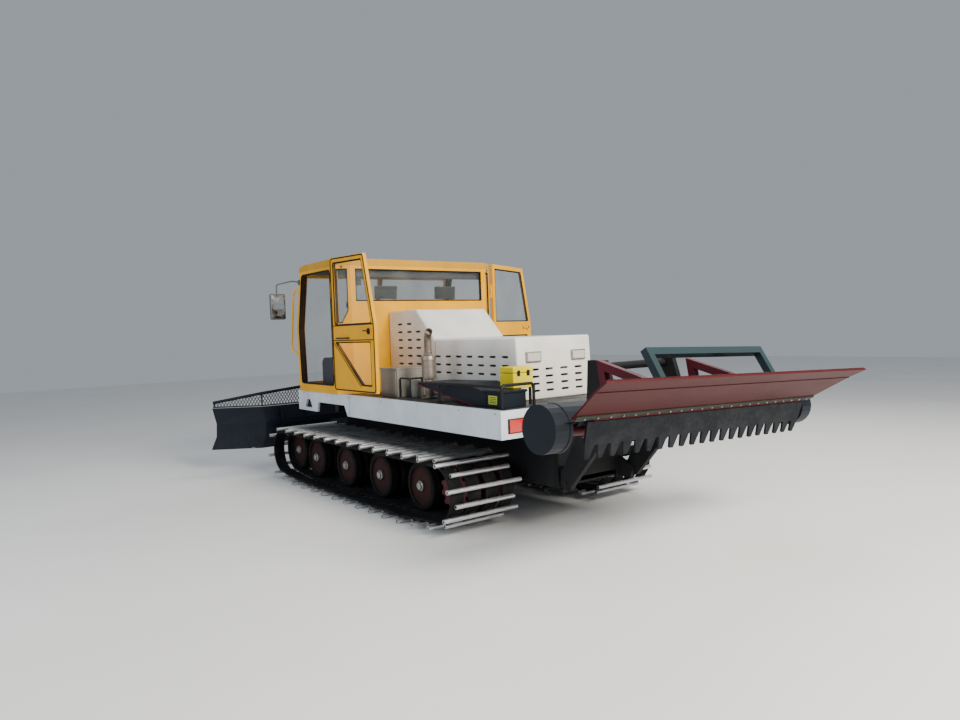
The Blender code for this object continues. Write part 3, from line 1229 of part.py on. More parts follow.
    rotor = Body("tiller_rotor", ROTOR_AXIS, roll)
    reach = HOUSING_HALF_WIDTH - 0.030 - PIN_GAP
    drum = cross_rod(y, z, -reach, reach, ROTOR_TUBE_RADIUS, 16)
    stars = []
    pitch = (2 * HOUSING_HALF_WIDTH - 0.30) / (ROTOR_STAR_COUNT - 1)
    for index in range(ROTOR_STAR_COUNT):
        x = -HOUSING_HALF_WIDTH + 0.15 + pitch * index
        outline = []
        for k in range(4):
            turn = math.tau * k / 4 + 0.35 * index
            for bend, radius in ((-0.45, 0.062), (-0.16, ROTOR_TIP_RADIUS), (0.16, ROTOR_TIP_RADIUS), (0.45, 0.062)):
                outline.append((y + radius * math.cos(turn + bend), z + radius * math.sin(turn + bend)))
        stars.append(prism(outline, "X", x - 0.012, x + 0.012))
    rotor.add("tiller_rotor", join(drum, gather(stars)), DARK_RED)


def build_lift_cylinder():
    barrel = Body("tiller_barrel", LIFT_BARREL_FOOT, chassis)
    barrel.add("tiller_cylinder_barrel", barrel_mesh(LIFT_BARREL_FOOT, LIFT_ROD_EYE, LIFT_BARREL_LENGTH), BLACK, 40)
    piston = Body("tiller_rod", LIFT_ROD_EYE, barrel)
    piston_mesh = rod_mesh(LIFT_BARREL_FOOT, LIFT_ROD_EYE, LIFT_BARREL_LENGTH, LIFT_ROD_OVERLAP)
    piston.add("tiller_cylinder_rod", piston_mesh, STEEL, 40)


build_frame()
build_deck()
build_cab()
build_interior()
build_steering()
build_door("left_door", 1, LEFT_DOOR_OPEN)
build_door("right_door", -1, RIGHT_DOOR_OPEN)
build_hood()
build_fittings()
for prefix, side in (("left", 1), ("right", -1)):
    build_track(prefix + "_track", side)
    build_running_gear(prefix, side)
build_blade()
build_tiller(build_lift_frame())
build_lift_cylinder()
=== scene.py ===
"""Looks of the snowcat groomer: fittings, finishes, floor, light and camera.

Places are in metres. "Machine" coordinates have z = 0 on the ground and y = 0 at the cab's rear
wall, with the blade towards -Y and the driver's left at +X. place() turns them into the frame's.
"""

import math
import random

import bpy
from mathutils import Matrix, Vector


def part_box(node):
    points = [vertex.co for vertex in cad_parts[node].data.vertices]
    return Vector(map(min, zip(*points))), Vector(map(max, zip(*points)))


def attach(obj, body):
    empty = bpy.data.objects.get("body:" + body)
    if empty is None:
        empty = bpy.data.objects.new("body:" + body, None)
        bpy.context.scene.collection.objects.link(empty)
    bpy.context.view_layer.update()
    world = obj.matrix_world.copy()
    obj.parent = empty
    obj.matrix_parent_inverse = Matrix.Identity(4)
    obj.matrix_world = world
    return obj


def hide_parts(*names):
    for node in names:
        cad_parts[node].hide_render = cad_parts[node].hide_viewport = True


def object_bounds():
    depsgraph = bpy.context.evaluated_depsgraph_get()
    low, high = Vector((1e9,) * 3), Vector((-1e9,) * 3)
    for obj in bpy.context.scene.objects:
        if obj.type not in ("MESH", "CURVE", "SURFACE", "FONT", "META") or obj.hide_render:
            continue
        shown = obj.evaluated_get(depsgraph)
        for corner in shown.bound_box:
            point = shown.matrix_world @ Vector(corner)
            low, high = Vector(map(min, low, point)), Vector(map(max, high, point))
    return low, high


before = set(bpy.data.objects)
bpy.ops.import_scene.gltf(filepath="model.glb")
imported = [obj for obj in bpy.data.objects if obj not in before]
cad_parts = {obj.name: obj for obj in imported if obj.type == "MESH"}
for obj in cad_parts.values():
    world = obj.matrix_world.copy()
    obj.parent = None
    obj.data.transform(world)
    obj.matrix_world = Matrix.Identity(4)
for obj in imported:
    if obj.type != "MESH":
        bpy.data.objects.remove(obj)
CAD_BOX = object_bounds()

GROUND = CAD_BOX[0][2]
CAB_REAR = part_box("cab_rear_wall")[1][1]
SIDES = (("left", 1), ("right", -1))


def place(x, y, z):
    return Vector((x, CAB_REAR + y, GROUND + z))


def span(node):
    """A node's lowest and highest corners in machine coordinates."""
    low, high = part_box(node)
    shift = Vector((0, CAB_REAR, GROUND))
    return Vector(low) - shift, Vector(high) - shift


# ================================================================ modelling
def deselect():
    """Leave edit mode with nothing selected."""
    if bpy.context.mode != "OBJECT":
        bpy.ops.object.mode_set(mode="OBJECT")
    bpy.ops.object.select_all(action="DESELECT")


def focus(piece):
    """Make one piece the selected and active object."""
    deselect()
    piece.select_set(True)
    bpy.context.view_layer.objects.active = piece


def settle(piece, name=None):
    """Move a piece's place, turn and size into its mesh."""
    focus(piece)
    if name:
        piece.name = name
        piece.data.name = name
    bpy.ops.object.transform_apply(location=True, rotation=True, scale=True)
    return piece


def apply_modifier(piece, kind, **settings):
    focus(piece)
    modifier = piece.modifiers.new(kind.lower(), kind)
    for key, value in settings.items():
        setattr(modifier, key, value)
    bpy.ops.object.modifier_apply(modifier=modifier.name)
    return piece


def soften(piece, width, steps=2, angle=35):
    return apply_modifier(piece, "BEVEL", width=width, segments=steps, limit_method="ANGLE",
                          angle_limit=math.radians(angle), harden_normals=False)


def smooth(piece, angle=40):
    focus(piece)
    bpy.ops.object.shade_smooth_by_angle(angle=math.radians(angle))
    return piece


def outward(piece):
    """Weld a piece's seams and turn its faces outward."""
    focus(piece)
    bpy.ops.object.mode_set(mode="EDIT")
    bpy.ops.mesh.select_all(action="SELECT")
    bpy.ops.mesh.remove_doubles(threshold=0.00005)
    bpy.ops.mesh.normals_make_consistent(inside=False)
    bpy.ops.object.mode_set(mode="OBJECT")
    return piece


def cuboid(name, low, high, edge=0.003, steps=2):
    """A block with rounded edges between two corners."""
    deselect()
    low = place(*low)
    high = place(*high)
    bpy.ops.mesh.primitive_cube_add(size=1.0, location=(low + high) / 2)
    piece = bpy.context.active_object
    piece.scale = [abs(a) for a in (high - low)]
    settle(piece, name)
    if edge:
        soften(piece, edge, steps)
    return piece


def drum(name, start, end, radius, sides=24, edge=0.002):
    """A round bar with softened rims between two points."""
    deselect()
    start = place(*start)
    end = place(*end)
    run = end - start
    bpy.ops.mesh.primitive_cylinder_add(vertices=sides, radius=radius, depth=run.length,
                                        location=(start + end) / 2)
    piece = bpy.context.active_object
    piece.rotation_mode = "QUATERNION"
    piece.rotation_quaternion = run.to_track_quat("Z", "Y")
    settle(piece, name)
    if edge:
        soften(piece, edge, 1, 50)
    return smooth(piece)


def slab(name, outline, axis, start, end, edge=0.0):
    """A flat disc whose corners are pulled to an outline, extruded along an axis."""
    spots = {
        "X": lambda a, b: place(start, a, b),
        "Y": lambda a, b: place(a, start, b),
        "Z": lambda a, b: place(a, b, start),
    }
    along = {"X": (1, 0, 0), "Y": (0, 1, 0), "Z": (0, 0, 1)}[axis]
    deselect()
    bpy.ops.mesh.primitive_circle_add(vertices=len(outline), radius=1.0, fill_type="NGON")
    piece = bpy.context.active_object
    for corner, (a, b) in zip(piece.data.vertices, outline):
        corner.co = spots[axis](a, b)
    bpy.ops.object.mode_set(mode="EDIT")
    bpy.ops.mesh.select_all(action="SELECT")
    bpy.ops.mesh.extrude_region_move(TRANSFORM_OT_translate={"value": Vector(along) * (end - start)})
    bpy.ops.object.mode_set(mode="OBJECT")
    piece.name = name
    piece.data.name = name
    outward(piece)
    if edge:
        soften(piece, edge)
    return piece


def turned(name, profile, centre, steps=32, axis="X"):
    """Spin a profile of (along, radius) points about an axis through the centre."""
    deselect()
    bpy.ops.mesh.primitive_circle_add(vertices=len(profile), radius=1.0, fill_type="NOTHING")
    piece = bpy.context.active_object
    middle = place(*centre)
    along, out = {
        "X": (Vector((1, 0, 0)), Vector((0, 0, 1))),
        "Y": (Vector((0, 1, 0)), Vector((0, 0, 1))),
        "Z": (Vector((0, 0, 1)), Vector((1, 0, 0))),
    }[axis]
    for corner, (a, r) in zip(piece.data.vertices, profile):
        corner.co = middle + along * a + out * r
    bpy.ops.object.mode_set(mode="EDIT")
    bpy.ops.mesh.select_all(action="SELECT")
    bpy.ops.mesh.spin(steps=steps, angle=math.tau, center=middle, axis=along, use_auto_merge=True)
    bpy.ops.object.mode_set(mode="OBJECT")
    piece.name = name
    piece.data.name = name
    return smooth(outward(piece), 35)


def tube(name, path, radius, sides=10, cyclic=False):
    """A round tube along a path of machine points."""
    curve = bpy.data.curves.new(name, "CURVE")
    curve.dimensions = "3D"
    curve.bevel_depth = radius
    curve.bevel_resolution = max(1, sides // 4)
    curve.use_fill_caps = not cyclic
    spline = curve.splines.new("POLY")
    spline.points.add(len(path) - 1)
    for point, spot in zip(spline.points, path):
        point.co = (*place(*spot), 1.0)
    spline.use_cyclic_u = cyclic
    piece = bpy.data.objects.new(name, curve)
    bpy.context.scene.collection.objects.link(piece)
    focus(piece)
    bpy.ops.object.convert(target="MESH")
    piece = bpy.context.active_object
    return smooth(outward(piece), 40)


def rounded(path, reach, steps=4, cyclic=False):
    """Turn the corners of a path into short arcs."""
    points = [Vector(p) for p in path]
    count = len(points)
    smoothed = []
    for index, point in enumerate(points):
        if not cyclic and index in (0, count - 1):
            smoothed.append(point)
            continue
        before = points[index - 1]
        after = points[(index + 1) % count]
        start = point + (before - point).normalized() * min(reach, (before - point).length * 0.45)
        end = point + (after - point).normalized() * min(reach, (after - point).length * 0.45)
        for step in range(steps + 1):
            t = step / steps
            smoothed.append(start * (1 - t) ** 2 + point * 2 * t * (1 - t) + end * t * t)
    return [tuple(p) for p in smoothed]


def duplicate(piece, offset=(0, 0, 0), turn=None, mirror=False):
    """A copy with its own mesh, moved, turned or mirrored across the machine's middle."""
    copy = piece.copy()
    copy.data = piece.data.copy()
    bpy.context.scene.collection.objects.link(copy)
    if turn is not None:
        copy.data.transform(turn)
    if mirror:
        copy.data.transform(Matrix.Diagonal((-1, 1, 1, 1)))
        copy.data.flip_normals()
    copy.data.transform(Matrix.Translation(offset))
    return copy


def join(name, pieces):
    """Join pieces into one mesh."""
    focus(pieces[0])
    for piece in pieces[1:]:
        piece.select_set(True)
    if len(pieces) > 1:
        bpy.ops.object.join()
    whole = bpy.context.active_object
    whole.name = name
    whole.data.name = name
    return whole


def carve(piece, cutter):
    """Take a cutter's shape out of a piece."""
    apply_modifier(piece, "BOOLEAN", operation="DIFFERENCE", solver="EXACT", object=cutter,
                   use_self=False)
    bpy.data.objects.remove(cutter, do_unlink=True)
    return piece


def bolts(name, spots, axis, radius=0.010, height=0.006):
    """Hexagon heads standing on a face, all in one piece."""
    heads = []
    for x, y, z in spots:
        run = Vector(axis) * height
        heads.append(drum("head", (x, y, z), (x + run.x, y + run.y, z + run.z), radius, 6,
                          radius * 0.12))
    return join(name, heads)


def dress(piece, body, look):
    """Give a piece its finish and the body that it rides on."""
    piece.data.materials.clear()
    piece.data.materials.append(look)
    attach(piece, body)
    return piece


# ================================================================ shading
class Value:
    """A number socket that Python's operators carry on with Math nodes."""

    def __init__(self, shader, socket):
        self.shader = shader
        self.socket = socket

    def _maths(self, operation, first, second):
        node = self.shader.node("ShaderNodeMath", {"operation": operation}, {0: first, 1: second})
        return Value(self.shader, node.outputs[0])

    def __add__(self, other):
        return self._maths("ADD", self, other)

    def __radd__(self, other):
        return self._maths("ADD", other, self)

    def __sub__(self, other):
        return self._maths("SUBTRACT", self, other)

    def __rsub__(self, other):
        return self._maths("SUBTRACT", other, self)

    def __mul__(self, other):
        return self._maths("MULTIPLY", self, other)

    def __rmul__(self, other):
        return self._maths("MULTIPLY", other, self)

    def __pow__(self, other):
        return self._maths("POWER", self, other)

    def __gt__(self, other):
        return self._maths("GREATER_THAN", self, other)


class Finish:
    """A material under construction."""

    def __init__(self, name):
        self.material = bpy.data.materials.new(name)
        self.material.use_nodes = True
        self.tree = self.material.node_tree
        self.shader = self.tree.nodes["Principled BSDF"]
        coordinates = self.node("ShaderNodeTexCoord")
        self.spot = coordinates.outputs["Object"]

    def node(self, kind, settings=None, inputs=None):
        made = self.tree.nodes.new(kind)
        for key, value in (settings or {}).items():
            setattr(made, key, value)
        for key, value in (inputs or {}).items():
            self.feed(made.inputs[key], value)
        return made

    def feed(self, socket, value):
        if isinstance(value, Value):
            self.tree.links.new(value.socket, socket)
        elif isinstance(value, bpy.types.NodeSocket):
            self.tree.links.new(value, socket)
        else:
            socket.default_value = value

    def stretched(self, scale):
        node = self.node("ShaderNodeMapping", None, {"Vector": self.spot, "Scale": scale})
        return node.outputs["Vector"]

    def noise(self, scale, detail=4.0, rough=0.55, stretch=(1, 1, 1)):
        node = self.node("ShaderNodeTexNoise", None, {
            "Vector": self.stretched(stretch), "Scale": scale, "Detail": detail, "Roughness": rough})
        return Value(self, node.outputs[0])

    def cells(self, scale, feature="F1"):
        node = self.node("ShaderNodeTexVoronoi", {"feature": feature},
                         {"Vector": self.spot, "Scale": scale})
        return Value(self, node.outputs["Distance"])

    def between(self, value, low, high, floor=0.0, top=1.0):
        node = self.node("ShaderNodeMapRange", {"clamp": True}, {
            "Value": value, "From Min": low, "From Max": high, "To Min": floor, "To Max": top})
        return Value(self, node.outputs["Result"])

    def height(self):
        node = self.node("ShaderNodeSeparateXYZ", None, {0: self.spot})
        return Value(self, node.outputs["Z"]) - GROUND

    def blend(self, factor, first, second):
        node = self.node("ShaderNodeMix", {"data_type": "RGBA"}, {0: factor, 6: first, 7: second})
        return node.outputs[2]

    def bump(self, height, strength, distance=0.002):
        node = self.node("ShaderNodeBump", None,
                         {"Strength": strength, "Distance": distance, "Height": height})
        self.feed(self.shader.inputs["Normal"], node.outputs["Normal"])

    def set(self, **values):
        for key, value in values.items():
            self.feed(self.shader.inputs[key.replace("_", " ")], value)
        return self


def rgb(red, green, blue):
    return (red, green, blue, 1.0)


def paint(name, colour, dirt, rough=0.32, coat=0.35, low=0.3, high=1.5, wear=0.5, metal=0.0):
    """Sprayed paint: faint mottling, dust that gathers low down, runs and rubbed spots."""
    finish = Finish(name)
    mottle = finish.noise(2.3, 5.0)
    runs = finish.noise(5.0, 6.0, 0.7, (7.0, 7.0, 0.7))
    grit = finish.noise(55.0, 3.0)
    deep = tuple(c * 0.80 for c in colour[:3]) + (1.0,)
    body = finish.blend(finish.between(mottle, 0.35, 0.68), colour, deep)
    settled = finish.between(finish.height(), low, high, 1.0, 0.12)
    film = finish.between(runs * settled + grit * 0.12 * settled, 0.30, 0.75, 0.0, wear)
    tone = finish.blend(film, body, dirt)
    flakes = finish.between(finish.cells(38.0) + mottle * 0.30, 0.02, 0.14, 0.55, 0.0)
    chips = flakes * finish.between(finish.noise(1.7), 0.58, 0.70)
    tone = finish.blend(chips, tone, rgb(dirt[0] * 0.5, dirt[1] * 0.5, dirt[2] * 0.5))
    finish.set(Base_Color=tone, Roughness=finish.between(film + mottle * 0.2, 0.0, 0.8, rough, 0.82),
               Metallic=metal)
    finish.set(Coat_Weight=finish.between(film, 0.0, 0.5, coat * 0.5, 0.0), Coat_Roughness=0.12,
               Specular_IOR_Level=0.22)
    finish.bump(finish.noise(120.0, 2.0) * 0.5 + grit * 0.5 - chips * 0.6, 0.12, 0.0012)
    return finish.material


def metal(name, colour, tarnish, rough=0.3, brushed=(1, 1, 1), wear=0.7, metallic=1.0):
    """Bare or plated metal with rubbed grain and dull patches."""
    finish = Finish(name)
    grain = finish.noise(90.0, 4.0, 0.6, brushed)
    patches = finish.between(finish.noise(9.0, 6.0, 0.65), 0.42, 0.66, 0.0, wear)
    tone = finish.blend(patches, finish.blend(grain, colour,
                                              tuple(c * 0.82 for c in colour[:3]) + (1.0,)), tarnish)
    finish.set(Base_Color=tone, Metallic=finish.between(patches, 0.0, 1.0, metallic, metallic * 0.55))
    finish.set(Roughness=finish.between(patches + grain * 0.4, 0.2, 1.2, rough, 0.75))
    finish.bump(grain, 0.10, 0.0008)
    return finish.material


def rubber(name, colour, dust, rough=0.8, scale=70.0):
    finish = Finish(name)
    pores = finish.noise(scale, 4.0, 0.6)
    film = finish.between(finish.noise(6.0, 6.0, 0.65), 0.45, 0.75, 0.0, 0.7)
    finish.set(Base_Color=finish.blend(film, colour, dust),
               Roughness=finish.between(pores, 0.3, 0.7, rough - 0.08, rough + 0.1))
    finish.set(Specular_IOR_Level=0.15)
    finish.bump(pores, 0.25, 0.0015)
    return finish.material


def plastic(name, colour, rough=0.55, grain=260.0):
    finish = Finish(name)
    leather = finish.cells(grain)
    scuffs = finish.between(finish.noise(7.0, 6.0), 0.5, 0.72, 0.0, 0.35)
    finish.set(Base_Color=finish.blend(scuffs, colour,
                                       tuple(min(1.0, c * 2.2 + 0.02) for c in colour[:3]) + (1.0,)))
    finish.set(Roughness=finish.between(scuffs, 0.0, 0.35, rough, rough + 0.2))
    finish.bump(leather, 0.22, 0.0010)
    return finish.material


def glass(name, tint, alpha):
    finish = Finish(name)
    haze = finish.between(finish.noise(3.0, 6.0, 0.6), 0.40, 0.75, 0.0, 1.0)
    finish.set(Base_Color=finish.blend(haze, tint, rgb(0.45, 0.45, 0.42)),
               Roughness=finish.between(haze, 0.0, 1.0, 0.03, 0.12))
    finish.set(Alpha=finish.between(haze, 0.0, 1.0, alpha, alpha + 0.06))
    return finish.material


def cloth(name, colour, light):
    """Seat fabric: a crossed weave, pile and rubbed crowns."""
    finish = Finish(name)
    warp = finish.node("ShaderNodeTexWave", {"bands_direction": "X"},
                       {"Vector": finish.spot, "Scale": 95.0, "Distortion": 1.2, "Detail": 2.0})
    weft = finish.node("ShaderNodeTexWave", {"bands_direction": "Y"},
                       {"Vector": finish.spot, "Scale": 95.0, "Distortion": 1.2, "Detail": 2.0})
    weave = Value(finish, warp.outputs[1]) * Value(finish, weft.outputs[1])
    worn = finish.between(finish.noise(6.0, 5.0), 0.4, 0.7, 0.0, 0.6)
    finish.set(Base_Color=finish.blend(weave * 0.5 + worn * 0.4, colour, light), Roughness=0.92,
               Sheen_Weight=0.35)
    finish.bump(weave, 0.35, 0.0012)
    return finish.material


def lens(name, colour, flute_highlight):
    """Moulded lamp cover with fine flutes, and a painted highlight: a lighter colour along the flutes.
    """
    finish = Finish(name)
    flutes = finish.node("ShaderNodeTexWave", {"bands_direction": "X"},
                         {"Vector": finish.spot, "Scale": 32.0, "Distortion": 0.0})
    line = Value(finish, flutes.outputs[1])
    finish.set(Base_Color=finish.blend(line, colour, flute_highlight), Roughness=0.12, Coat_Weight=0.6)
    finish.bump(line, 0.4, 0.0015)
    return finish.material


def tread_plate(name, colour, dirt):
    """Raised lozenges in two directions on worn deck plate."""
    finish = Finish(name)
    first = finish.node("ShaderNodeTexWave", {"bands_direction": "DIAGONAL"},
                        {"Vector": finish.stretched((1, 1, 0)), "Scale": 22.0})
    second = finish.node("ShaderNodeTexWave", {"bands_direction": "DIAGONAL"},
                         {"Vector": finish.stretched((-1, 1, 0)), "Scale": 22.0})
    bars = finish.between(Value(finish, first.outputs[1]) * Value(finish, second.outputs[1]), 0.55,
                          0.70)
    grime = finish.between(finish.noise(4.0, 6.0, 0.65), 0.38, 0.66)
    tone = finish.blend(grime, colour, dirt)
    finish.set(Base_Color=finish.blend(bars * 0.5, tone, rgb(0.30, 0.31, 0.32)),
               Roughness=finish.between(grime, 0.0, 1.0, 0.45, 0.8), Metallic=0.35)
    finish.bump(bars + grime * 0.1, 0.6, 0.003)
    return finish.material


DUST = rgb(0.20, 0.16, 0.11)
YELLOW = paint("cab_yellow", rgb(0.90, 0.430, 0.001), rgb(0.36, 0.19, 0.02), 0.36, 0.20, 0.9, 2.1, 0.22)
ROOF_YELLOW = paint("roof_yellow", rgb(0.66, 0.33, 0.020), rgb(0.22, 0.15, 0.05), 0.42, 0.15, 2.4, 2.9,
                    0.55)
# Dark brown standing in for the shadow on the yellow cab's inner faces: painted shade, used on the
# doorway pillars, reveals and door pressings.
PAINTED_SHADE_BROWN = paint("cab_inner_painted_shade", rgb(0.048, 0.024, 0.014), DUST, 0.6, 0.0, 0.9, 2.2, 0.2)
WHITE = paint("hood_white", rgb(0.80, 0.78, 0.74), rgb(0.38, 0.33, 0.27), 0.34, 0.25, 0.9, 2.4, 0.22)
# White skirt paint with a blue-grey cast: the cool tint is painted shade, taken from the skirt's shaded
# side.
SKIRT_WHITE_COOL_SHADE = paint("skirt_white_painted_shade", rgb(0.66, 0.72, 0.78), rgb(0.20, 0.19, 0.18), 0.34, 0.25, 0.7, 1.3,
                    0.35)
NAVY = paint("blade_navy", rgb(0.005, 0.009, 0.017), rgb(0.050, 0.052, 0.055), 0.50, 0.06, 0.2, 1.2,
             0.45)
BLACK = paint("frame_black", rgb(0.007, 0.008, 0.010), rgb(0.045, 0.042, 0.040), 0.55, 0.05, 0.2, 1.2,
              0.5)
MAROON = paint("board_maroon", rgb(0.066, 0.0030, 0.0045), rgb(0.050, 0.014, 0.012), 0.50, 0.05, 0.8,
               1.9, 0.35)
DARK_RED = paint("arm_dark_red", rgb(0.095, 0.0055, 0.0150), rgb(0.045, 0.025, 0.022), 0.48, 0.10, 0.2,
                 1.8, 0.5)
# Dark red wheel paint darkened nearly to black, with a thick dark film: the darkening is painted shade
# over the wheels, not grime.
SHADED_WHEEL_RED = paint("wheel_red_painted_shade", rgb(0.040, 0.0060, 0.0060), rgb(0.018, 0.016, 0.015), 0.6, 0.0, 0.1, 1.2,
                  0.85)
TEAL_GREY = paint("hoop_teal_grey", rgb(0.022, 0.044, 0.052), rgb(0.070, 0.072, 0.068), 0.42, 0.12, 0.8,
                  2.0, 0.4)
PALE_GREY = paint("cabinet_grey", rgb(0.27, 0.255, 0.225), rgb(0.11, 0.085, 0.065), 0.5, 0.1, 1.1, 1.6,
                  0.55)
SIGNAL = paint("box_yellow", rgb(0.78, 0.64, 0.004), rgb(0.40, 0.26, 0.01), 0.48, 0.1, 1.1, 1.7, 0.25)
LIME = paint("label_lime", rgb(0.50, 0.58, 0.05), rgb(0.10, 0.10, 0.04), 0.55, 0.0, 1.1, 1.4, 0.5)
BAR_SILVER = metal("bar_silver", rgb(0.83, 0.84, 0.86), rgb(0.34, 0.34, 0.35), 0.30, (0.25, 1, 1), 0.45,
                   0.9)
STEEL = metal("worn_steel", rgb(0.46, 0.46, 0.46), rgb(0.16, 0.13, 0.11), 0.38)
CHROME = metal("rod_chrome", rgb(0.80, 0.80, 0.82), rgb(0.45, 0.45, 0.46), 0.10, (1, 1, 1), 0.25)
HEAT_STEEL = metal("muffler_steel", rgb(0.30, 0.26, 0.225), rgb(0.11, 0.065, 0.042), 0.45, (1, 1, 0.2),
                   0.85, 0.8)
MIRROR = metal("mirror_glass", rgb(0.86, 0.88, 0.88), rgb(0.70, 0.71, 0.72), 0.03, (1, 1, 1), 0.3)
BELT = rubber("belt_rubber", rgb(0.006, 0.006, 0.007), rgb(0.028, 0.027, 0.026))
TYRE = rubber("wheel_rubber", rgb(0.007, 0.007, 0.007), rgb(0.030, 0.022, 0.019))
COMB_RUBBER = rubber("comb_rubber", rgb(0.005, 0.007, 0.011), rgb(0.028, 0.030, 0.033), 0.6, 40.0)
SEAL = rubber("window_seal", rgb(0.010, 0.007, 0.006), rgb(0.045, 0.030, 0.018), 0.65, 120.0)
LIP_STRIP = rubber("board_strip", rgb(0.040, 0.047, 0.037), rgb(0.085, 0.085, 0.070), 0.7, 60.0)
TRIM = plastic("cab_trim", rgb(0.030, 0.026, 0.038))
LINING = plastic("roof_lining", rgb(0.035, 0.033, 0.032), 0.8, 90.0)
MIRROR_CASE = plastic("mirror_case", rgb(0.09, 0.095, 0.10), 0.45)
DIAL = plastic("dial_face", rgb(0.03, 0.03, 0.032), 0.25, 30.0)
GLASS = glass("window_glass", rgb(0.22, 0.27, 0.26), 0.07)
CLOTH = cloth("seat_cloth", rgb(0.012, 0.013, 0.016), rgb(0.055, 0.055, 0.062))
# Each lens's second colour is a painted highlight along its flutes.
RED_LENS = lens("red_lens", rgb(0.42, 0.006, 0.005), rgb(0.62, 0.030, 0.012))
WHITE_LENS = lens("white_lens", rgb(0.62, 0.62, 0.60), rgb(0.85, 0.84, 0.82))
CLEAR_LENS = lens("clear_lens", rgb(0.40, 0.385, 0.34), rgb(0.80, 0.78, 0.72))
DECK = tread_plate("deck_plate", rgb(0.045, 0.055, 0.055), rgb(0.018, 0.018, 0.018))

CAD_LOOKS = {
    "chassis_frame": BLACK, "deck_plate": DECK, "rear_deck_plate": DECK, "left_skirt": SKIRT_WHITE_COOL_SHADE,
    "right_skirt": SKIRT_WHITE_COOL_SHADE,
    "rear_skirt": SKIRT_WHITE_COOL_SHADE, "cab_floor": YELLOW, "cab_roof": ROOF_YELLOW, "cab_rear_wall": YELLOW,
    "cab_left_side": YELLOW, "cab_right_side": YELLOW, "cab_front_frame": YELLOW, "windshield": GLASS,
    "rear_window": GLASS, "left_quarter_window": GLASS, "right_quarter_window": GLASS,
    "seat_platform": TRIM,
    "left_seat": CLOTH, "right_seat": CLOTH, "dashboard": TRIM, "steering_wheel": TRIM,
    "engine_hood": WHITE,
    "engine_block": STEEL, "muffler": HEAT_STEEL, "deck_cabinet": PALE_GREY, "battery_box": NAVY,
    "tool_box": SIGNAL, "deck_handrail": BLACK, "fuel_tank": PALE_GREY, "left_mirror": MIRROR_CASE,
    "right_mirror": MIRROR_CASE, "left_track": BAR_SILVER, "right_track": BAR_SILVER,
    "left_running_gear": SHADED_WHEEL_RED, "right_running_gear": SHADED_WHEEL_RED, "left_sprocket": DARK_RED,
    "right_sprocket": DARK_RED, "left_door": YELLOW, "left_door_glass": GLASS,
    "left_door_lower_glass": GLASS,
    "right_door": YELLOW, "right_door_glass": GLASS, "right_door_lower_glass": GLASS,
    "blade_push_frame": BLACK,
    "blade": NAVY, "blade_guard": NAVY, "blade_cylinder_barrel": BLACK, "blade_cylinder_rod": CHROME,
    "tiller_lift_frame": BLACK, "tiller_yoke": DARK_RED, "tiller_housing": NAVY, "tiller_board": MAROON,
    "tiller_comb": COMB_RUBBER, "tiller_hoop": TEAL_GREY, "tiller_rotor": DARK_RED,
    "tiller_cylinder_barrel": BLACK, "tiller_cylinder_rod": CHROME,
}
for node_name, look in CAD_LOOKS.items():
    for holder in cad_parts[node_name].material_slots:
        holder.material = look


# ================================================================ tracks
TRACK_LOW, TRACK_HIGH = span("left_track")
TRACK_X = (TRACK_LOW.x + TRACK_HIGH.x) / 2
TRACK_WIDTH = TRACK_HIGH.x - TRACK_LOW.x
PATH_RADIUS = 0.290
BAR_RADIUS = 0.0205
BAR_LIFT = 0.0265 - BAR_RADIUS      # the bars stand proud of the path by this much
BAR_COUNT = 64
BELT_SHIFTS = (-0.286, -0.096, 0.096, 0.286)      # the four belts of a track, from its centre line
TYRE_RADIUS = 0.2415
TWIN_SHIFTS = (-0.073, 0.073)      # a wheel's two tyres, from its centre
WHEELS = [(1.5, 0.3175), (0.7, 0.3175), (-0.1, 0.3175), (-0.9, 0.3175), (-1.43, 0.360)]
SPROCKET = (2.110, 0.368)


def hull(points):
    ordered = sorted(set((round(a, 6), round(b, 6)) for a, b in points))

    def half(sequence):
        chain = []
        for p in sequence:
            while len(chain) > 1:
                last, before = chain[-1], chain[-2]
                turn = (last[0] - before[0]) * (p[1] - before[1])
                if turn - (last[1] - before[1]) * (p[0] - before[0]) > 1e-9:
                    break
                chain.pop()
            chain.append(p)
        return chain

    return half(ordered)[:-1] + half(reversed(ordered))[:-1]


def loop(radius, sides=56):
    """The belt's path at a distance from every wheel's centre."""
    points = []
    for y, z in WHEELS + [SPROCKET]:
        points += [(y + radius * math.cos(math.tau * i / sides),
                    z + radius * math.sin(math.tau * i / sides)) for i in range(sides)]
    return hull(points)


def stations(outline, count):
    corners = [Vector(p) for p in outline] + [Vector(outline[0])]
    lengths = [(b - a).length for a, b in zip(corners, corners[1:])]
    found = []
    for index in range(count):
        want = sum(lengths) * (index + 0.5) / count
        for a, b, length in zip(corners, corners[1:], lengths):
            if want <= length:
                found.append((a + (b - a) * (want / length), (b - a).normalized()))
                break
            want -= length
    return found


def ribbon(name, centre, width, outer, inner):
    """One belt: a closed band between two paths."""
    band = slab(name, loop(outer), "X", centre - width / 2, centre + width / 2)
    hollow = slab("hollow", loop(inner), "X", centre - width, centre + width)
    return carve(band, hollow)


